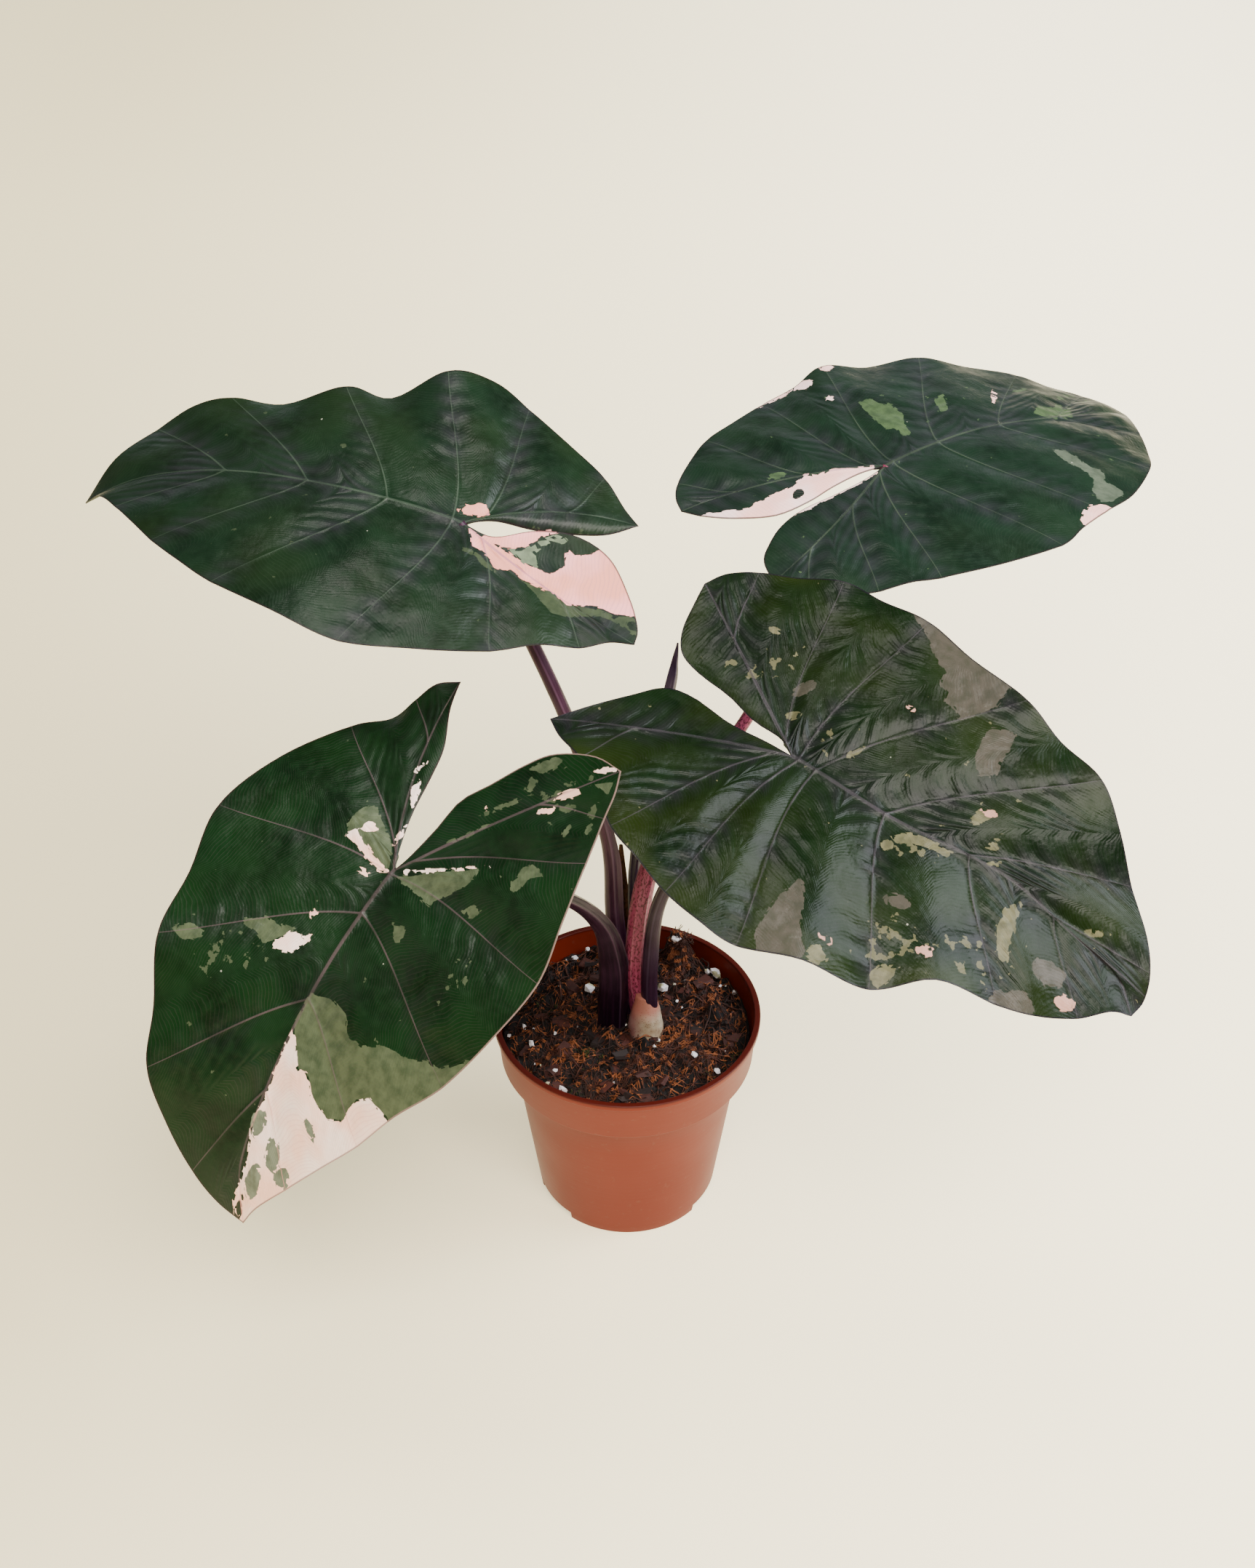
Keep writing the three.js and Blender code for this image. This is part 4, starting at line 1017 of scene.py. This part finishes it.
# The pot: a thin moulded nursery pot
pot = {
    "height": 102.5, "rimRadius": 60, "lipWidth": 1.4, "lipHeight": 3, "collarBottom": 80.5,
    "collarRadius": 57.2, "bodyTopRadius": 51.6, "footRadius": 41.2, "wall": 1.3, "floor": 1.6,
    "notches": 3, "notchWidth": 24, "notchHeight": 4, "notchDepth": 5, "notchTurn": 94.5,
    "steps": 160, "round": 0.55,
    "bodyRings": (5, 6, 12, 24, 40, 60),    # rings keep the shading even
    "colour": "#6d200e", "shade": "#5f1a0b", "rim": "#3a0d09", "dust": "#6e493b",
}


# Polypropylene, thinly moulded: a satin skin with faint flow lines, scuffs and dust, and a
# darker, wet-looking lip
def potMaterial():
    material, shader, add = newMaterial("moulded polypropylene", 0.42, 1.49)
    place = add("TexCoord").outputs["Object"]
    level = add("SeparateXYZ", [place]).outputs["Z"]
    cloud = add("TexNoise", {"Vector": place, "Scale": 14, "Detail": 3})
    flow = add("Mapping", {"Vector": place, "Scale": (25, 25, 500)})
    flowLines = add("TexNoise", {"Vector": flow, "Scale": 1.0, "Detail": 2})
    dust = add("TexNoise", {"Vector": place, "Scale": 420, "Detail": 3})
    colour = pot["colour"]
    for source, low, high, most, over in (
            (cloud, 0.35, 0.65, 0.4, "shade"), (dust, 0.62, 0.75, 0.25, "dust"),
            (level, (pot["height"] - 1.3) * mm, (pot["height"] - 0.5) * mm, 0.75, "rim")):
        tone = add("MapRange", [source, low, high, 0, most])
        colour = add("MixRGB", [tone, colour, pot[over]])
    gloss = add("MapRange", [cloud, 0.3, 0.7, 0.36, 0.5])
    raised = add("Bump", {"Height": flowLines, "Distance": 0.06 * mm, "Strength": 0.6})
    fill(shader, {"Base Color": colour, "Roughness": gloss, "Specular IOR Level": 0.2,
                  "Normal": raised})
    return material


def makePot():
    lip, wall = pot["rimRadius"] - pot["lipWidth"], pot["wall"]
    top, collar = pot["height"], pot["collarBottom"]
    slope = (pot["bodyTopRadius"] - pot["footRadius"]) / collar
    outline = [
        (0.01, 0), (pot["footRadius"], 0),
        *[(pot["footRadius"] + slope * z, z) for z in pot["bodyRings"]],
        (pot["bodyTopRadius"], collar), (pot["collarRadius"], collar),
        (lip, top - pot["lipHeight"]), (pot["rimRadius"], top - pot["lipHeight"]),
        (pot["rimRadius"], top), (lip - wall, top), (pot["collarRadius"] - wall, collar + wall + 1),
        (pot["bodyTopRadius"] - wall, collar + wall), (pot["footRadius"] - wall, pot["floor"]),
        (0.01, pot["floor"]),
    ]
    bm = bmesh.new()
    chain = [bm.verts.new((r, 0, z)) for r, z in outline]
    for pair in zip(chain, chain[1:]):
        bm.edges.new(pair)
    bmesh.ops.bevel(bm, geom=chain[1:-1], offset=pot["round"], segments=4, profile=0.5,
                    affect="VERTICES", material=-1, clamp_overlap=True)
    spinRound(bm, pot["steps"])
    bmesh.ops.remove_doubles(bm, verts=bm.verts, dist=0.05)
    bmesh.ops.recalc_face_normals(bm, faces=bm.faces)
    bm.transform(Matrix.Scale(mm, 4))
    shell = finishPiece(bm, "potShell", potMaterial(), sharpAngle=50)

    cutters = bmesh.new()
    size = Matrix.Diagonal((pot["notchDepth"] * 2 * mm, pot["notchWidth"] * mm,
                            pot["notchHeight"] * 2 * mm, 1))
    place = Matrix.Translation((pot["footRadius"] * mm, 0, 0))
    for n in range(pot["notches"]):
        turn = Matrix.Rotation(math.radians(pot["notchTurn"] + 360 * n / pot["notches"]), 4, "Z")
        bmesh.ops.create_cube(cutters, size=1, matrix=turn @ place @ size)
    cutter = finishPiece(cutters, "notchCutter", shell.data.materials[0], smooth=False)
    cut = shell.modifiers.new("notches", "BOOLEAN")
    cut.object, cut.solver = cutter, "EXACT"
    whole = evaluatedMesh(shell)
    shell.modifiers.clear()
    shell.data = whole
    bpy.data.objects.remove(cutter)
    return shell


# The growing mix: a crumbly surface, coir fibres, bark chips, perlite and crumbs
mix = {
    "level": 93, "mound": 2, "roughness": 0.9, "fineWave": 0.85, "coarseWave": 0.45,
    "clods": [
        # middle, radius, height
        (24, 44, 10, 15), (-34, 20, 9, 3), (30, -22, 10, 2.5), (-18, -38, 11, 3),
        (4, -44, 9, 2.5), (40, 8, 8, 3), (-42, -8, 7, 2.5), (-8, 42, 10, 3),
    ],
    "crumb": 4, "crumbLength": 8,
    "strands": [
        # how many, radius, length, how far they stand up
        (1100, (0.1, 0.2), (4, 14), 1),
        (520, (0.18, 0.34), (6, 20), 2.2),
        (110, (0.3, 0.5), (8, 18), 3),
    ],
    "tufts": [
        # middle, radius, strands: matted coir
        (24, 40, 6, 260), (26, -12, 8, 150), (33, -24, 6, 90), (-20, 26, 7, 110), (-32, -20, 6, 90),
        (4, -30, 7, 110), (-14, -44, 6, 80), (36, 16, 6, 90),
    ],
    # bits that the photograph shows, by place and size
    "shownChips": [(-1.4, -22.4, 9), (-9.3, -42.9, 8), (6.5, -45.3, 10), (34.9, 26.7, 10),
                   (-39, 5.2, 6), (-2.3, -9.1, 5)],
    "shownGrains": [(42.6, 32.2, 4.6), (37.4, 34.2, 2.8), (44.6, 36.4, 3.8), (16.5, 19.9, 4.6),
                    (-24.2, 42, 3.2), (-16.9, 20.5, 4.8), (-20, 53.9, 2.8), (-42.3, -15.5, 3.2),
                    (-31.5, -31.9, 3.2), (-27.6, -41.7, 4), (29.9, -23.1, 3.4), (39.8, -29.9, 3.2),
                    (22.7, 42, 4.4), (53.4, 22.1, 2.6), (-32.2, -7.3, 2.2), (-46.4, -1.4, 3.2),
                    (13.9, -10.7, 2.2), (-53, -6.5, 2.2), (-34.8, -39.7, 2.2), (26.7, 53.3, 2.2)],
    "chips": 60, "chipSize": (3, 9), "crumbs": 1100, "crumbSize": (0.7, 2.2),
    "moss": 260, "mossSize": (0.5, 1.3),
    "mossSpots": [(-19, -19), (47, -17), (-23, -46), (-38, 8), (38, -30)],
    "grains": 26, "grainSize": (1, 2.2),
    "sides": 180, "rings": 60, "lumpStrands": 200,
    "soil": "#0d0603", "soilHollowShade": "#030101",
    "colours": {
        # two tones, a third here and there, and the shade in its grain
        "fibres": ["#180a04", "#4c220f", "#8c4d26", "#070301"],
        "chips": ["#2e120b", "#4c2015", "#1a0b07", "#0e0503"],
        "crumbs": ["#0d0603", "#24110a", "#43210f", "#050201"],
        "moss": ["#2a2e10", "#454a1b", "#1d200c", "#101206"],
        "grains": ["#efeaec", "#d6d0d0", "#b9b48c", "#a39a90"],
    },
}


def mixRadius():
    return pot["collarRadius"] - pot["wall"] - 0.5


def mixHeight(x, y):
    reach = math.hypot(x, y) / pot["collarRadius"]
    z = mix["level"] + mix["mound"] * (1 - reach * reach)
    for cx, cy, radius, height in mix["clods"]:
        away = math.hypot(x - cx, y - cy) / radius
        if away < 1:
            z += height * (1 - away * away) ** 2
    fine = math.sin(x * mix["fineWave"] + 1) * math.cos(y * mix["fineWave"])
    return z + mix["roughness"] * (fine + math.sin((x - y) * mix["coarseWave"]))


# The crumbs' own ups and downs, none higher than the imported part's mix by much
def mixSurface(x, y):
    crumb = noise.fractal(Vector((x, y, 3)) / mix["crumbLength"], 0.8, 2.1, 4) * mix["crumb"]
    return mixHeight(x, y) - 1 + crumb


# Peat and coir dust: dark and matt, with painted shade in its hollows
def soilMaterial():
    material, shader, add = newMaterial("coir dust", 0.9)
    place = add("TexCoord").outputs["Object"]
    lumps = add("TexNoise", {"Vector": place, "Scale": 350, "Detail": 5})
    # painted shade: darker where the bump is low, in the hollows
    tone = add("MapRange", [lumps, 0.35, 0.65])
    colour = add("MixRGB", [tone, mix["soilHollowShade"], mix["soil"]])
    raised = add("Bump", {"Height": lumps, "Distance": 1.0 * mm, "Strength": 0.9})
    fill(shader, {"Base Color": colour, "Normal": raised})
    return material


# Loose organic bits: each bit has its own tone, read from where it lies
def bitsMaterial(name, colours, roughness, patchSize, relief=0.3):
    material, shader, add = newMaterial(name, roughness)
    place = add("TexCoord").outputs["Object"]
    patch = add("TexVoronoi", {"Vector": place, "Scale": 1 / (patchSize * mm)})
    tone = add("SeparateXYZ", [patch.outputs["Color"]])
    fine = add("TexNoise", {"Vector": place, "Scale": 900, "Detail": 3})
    second = add("MapRange", [tone.outputs["Y"], 0.7, 0.75])
    shade = add("MapRange", [fine, 0.35, 0.65, 0, 0.35])
    colour = colours[0]
    for by, over in zip((tone, second, shade), colours[1:]):
        colour = add("MixRGB", [by, colour, over])
    raised = add("Bump", {"Height": fine, "Distance": relief * mm, "Strength": 0.7})
    fill(shader, {"Base Color": colour, "Normal": raised})
    return material


def randomSpot(reach):
    r, a = math.sqrt(random.random()) * reach, random.uniform(0, 2 * math.pi)
    return r * math.cos(a), r * math.sin(a)


# A spot is held off the pot's wall by most of a bit's size
def heldIn(x, y, size):
    reach = math.hypot(x, y)
    limit = mixRadius() - 0.7 * size
    return (x, y) if reach < limit else (x * limit / reach, y * limit / reach)


def makeMix():
    random.seed(7)
    radius, rings = mixRadius(), mix["rings"]
    bm = bmesh.new()
    bmesh.ops.create_circle(bm, cap_ends=False, segments=mix["sides"], radius=radius)
    rim = bm.edges[:]
    for n in range(rings):
        ring = bmesh.ops.extrude_edge_only(bm, edges=rim)["geom"]
        rim = [item for item in ring if isinstance(item, bmesh.types.BMEdge)]
        for vert in [item for item in ring if isinstance(item, bmesh.types.BMVert)]:
            vert.co = vert.co.normalized() * radius * (1 - (n + 1) / (rings + 0.5))
    bmesh.ops.holes_fill(bm, edges=rim, sides=0)
    for vert in bm.verts:
        vert.co.z = mixSurface(vert.co.x, vert.co.y)
    outside = [edge for edge in bm.edges if edge.is_boundary]
    foot = bmesh.ops.extrude_edge_only(bm, edges=outside)["geom"]
    for vert in [item for item in foot if isinstance(item, bmesh.types.BMVert)]:
        vert.co.z = pot["collarBottom"] + 4
    closePiece(bm)
    seat(finishPiece(bm, "mixBed", soilMaterial()), "growing_mix", "growing_mix")

    makeFibres(radius)
    colours = mix["colours"]
    spots = mix["shownChips"] + [(*randomSpot(radius - 6), random.uniform(*mix["chipSize"]))
                                 for n in range(mix["chips"])]
    chips = bitsMaterial("bark chips", colours["chips"], 0.75, 7)
    makeBits("barkChips", chips, spots, flat=0.3, rise=1.6)
    spots = [(*randomSpot(radius - 1.5), random.uniform(*mix["crumbSize"]))
             for n in range(mix["crumbs"])]
    crumbs = bitsMaterial("coir crumbs", colours["crumbs"], 0.9, 3)
    makeBits("coirCrumbs", crumbs, spots, flat=0.7, rise=0.3)
    makeMoss(bitsMaterial("moss", colours["moss"], 0.9, 2))
    makeGrains(bitsMaterial("perlite", colours["grains"], 0.8, 4), radius - 3)


def makeFibres(radius):
    curve = bpy.data.curves.new("coirFibres", "CURVE")
    curve.dimensions = "3D"
    curve.bevel_depth = 1
    curve.bevel_resolution = 0
    curve.use_fill_caps = True
    for count, thickness, lengths, rise in mix["strands"]:
        for n in range(count):
            x, y = randomSpot(radius - 2)
            layStrand(curve, x, y, thickness, random.uniform(*lengths), rise)
    for cx, cy, spread, count in mix["tufts"]:
        for n in range(count):
            x, y = random.gauss(cx, spread / 2), random.gauss(cy, spread / 2)
            layStrand(curve, x, y, (0.12, 0.3), random.uniform(5, 12), 2.2)
    # the coir lump that stands over the rim at the back
    cx, cy = mix["clods"][0][:2]
    top = mixHeight(cx, cy)
    for n in range(mix["lumpStrands"]):
        direction = Vector((random.gauss(0, 1), random.gauss(0, 1), abs(random.gauss(0, 0.9))))
        direction.normalize()
        start = Vector((cx, cy, top - 5)) + direction * random.uniform(2, 5)
        side = Vector((random.uniform(-1, 1), random.uniform(-1, 1), random.uniform(-0.6, 0.9)))
        spline = curve.splines.new("POLY")
        spline.points.add(5)
        for k, point in enumerate(spline.points):
            place = start + side * k * 0.9 + direction * math.sin(k) * 0.6
            point.co = (place.x, place.y, min(place.z, top + 3), 1)
            point.radius = random.uniform(0.12, 0.28)
    holder = bpy.data.objects.new("fibreCurve", curve)
    scene.collection.objects.link(holder)
    bm = bmesh.new()
    bm.from_mesh(evaluatedMesh(holder))
    bpy.data.objects.remove(holder)
    bm.transform(Matrix.Scale(mm, 4))
    fibres = bitsMaterial("coir fibres", mix["colours"]["fibres"], 0.75, 2.5)
    seat(finishPiece(bm, "coirFibres", fibres), "growing_mix")


# One strand, curling over the crumbs and held inside the rim
def layStrand(curve, x, y, thickness, length, rise):
    heading = random.uniform(0, 2 * math.pi)
    curl = random.uniform(-0.35, 0.35)
    lift = random.uniform(0.1, 1) * rise
    tilt = random.uniform(-0.5, 0.5) * rise
    thick = random.uniform(*thickness)
    spline = curve.splines.new("POLY")
    spline.points.add(6)
    for k, point in enumerate(spline.points):
        x, y = heldIn(x, y, 2)
        arch = lift * math.sin(math.pi * k / 6) + tilt * (k / 6 - 0.5)
        point.co = (x, y, max(mixSurface(x, y), mixHeight(x, y) - 1.5) + 0.2 + arch, 1)
        point.radius = thick * (0.55 if k in (0, 6) else 1)
        x += math.cos(heading) * length / 6
        y += math.sin(heading) * length / 6
        heading += curl + random.uniform(-0.25, 0.25)


# Small shoots of moss in a few damp spots
def makeMoss(material):
    bm = bmesh.new()
    for n in range(mix["moss"]):
        cx, cy = random.choice(mix["mossSpots"])
        x, y = heldIn(random.gauss(cx, 3.2), random.gauss(cy, 3.2), 3)
        size = random.uniform(*mix["mossSize"])
        angle = random.uniform(-0.9, 0.9)
        axis = Vector((random.random() - 0.5, random.random() - 0.5, 0.01))
        place = Matrix.Translation((x, y, mixSurface(x, y) + 0.8))
        bmesh.ops.create_cone(
            bm, cap_ends=True, segments=5, radius1=size * 0.45, radius2=size * 0.1,
            depth=size * 2, matrix=place @ Matrix.Rotation(angle, 4, axis))
    bm.transform(Matrix.Scale(mm, 4))
    seat(finishPiece(bm, "mossShoots", material), "growing_mix")


# Broken bits lie flat: blocks with their corners knocked about
def makeBits(name, material, spots, flat, rise):
    bm = bmesh.new()
    for x, y, size in spots:
        x, y = heldIn(x, y, size)
        turn = Matrix.Rotation(random.uniform(0, math.pi), 4, "Z")
        turn = turn @ Matrix.Rotation(random.uniform(-0.5, 0.5), 4, "X")
        shape = Matrix.Diagonal((size, size * random.uniform(0.4, 0.9),
                                 size * flat * random.uniform(0.5, 1), 1))
        place = Matrix.Translation((x, y, mixSurface(x, y) + rise))
        made = bmesh.ops.create_cube(bm, size=0.9, matrix=place @ turn @ shape)
        for vert in made["verts"]:
            knock = Vector([random.uniform(-0.17, 0.17) * size for axis in range(3)])
            vert.co += knock * Vector((1, 1, flat))
    bm.transform(Matrix.Scale(mm, 4))
    seat(finishPiece(bm, name, material, sharpAngle=40), "growing_mix")


def makeGrains(material, radius):
    bm = bmesh.new()
    spots = mix["shownGrains"] + [
        (*randomSpot(radius), random.uniform(*mix["grainSize"]) * random.uniform(0.5, 1))
        for n in range(mix["grains"])]
    for n, (x, y, size) in enumerate(spots):
        x, y = heldIn(x, y, size)
        turn = Matrix.Rotation(random.uniform(0, math.pi), 4,
                               Vector((random.random(), random.random(), 1)))
        shape = Matrix.Diagonal((size, size * random.uniform(0.7, 1),
                                 size * random.uniform(0.6, 0.9), 1))
        level = max(mixSurface(x, y), mixHeight(x, y) - 1) + size * 0.55
        place = Matrix.Translation((x, y, level))
        made = bmesh.ops.create_icosphere(bm, subdivisions=1, radius=0.55,
                                          matrix=place @ turn @ shape)
        for vert in made["verts"]:
            lump = noise.noise_vector(vert.co / size * 2.6 + Vector((0, n, 0)))
            vert.co += lump * size * 0.24
    bm.transform(Matrix.Scale(mm, 4))
    seat(finishPiece(bm, "perliteGrains", material, sharpAngle=35), "growing_mix")


makeStudio()
print("studio ready")
seat(makePot(), "pot", "pot")
makeMix()
print("pot and mix ready")
seat(makeCorm(), "corm", "corm")
for name, points in stalks.items():
    leaf = leaves.get(name.replace("petiole", "leaf"))
    seat(makeStalk(name, points, leaf), name, name)
print("stalks ready")
slots = {"leaf_1": "leaf_green_pink", "leaf_2": "leaf_green_pink", "leaf_3": "leaf_green_tan",
         "leaf_4": "leaf_dark_pink"}
for seed, (name, leaf) in enumerate(leaves.items()):
    leaf["marks"], leaf["look"], leaf["seed"] = marks[name], looks[name], seed * 40
    seat(makeBlade(name.replace("leaf_", "blade"), leaf), slots[name], name)
    print(name, "ready")
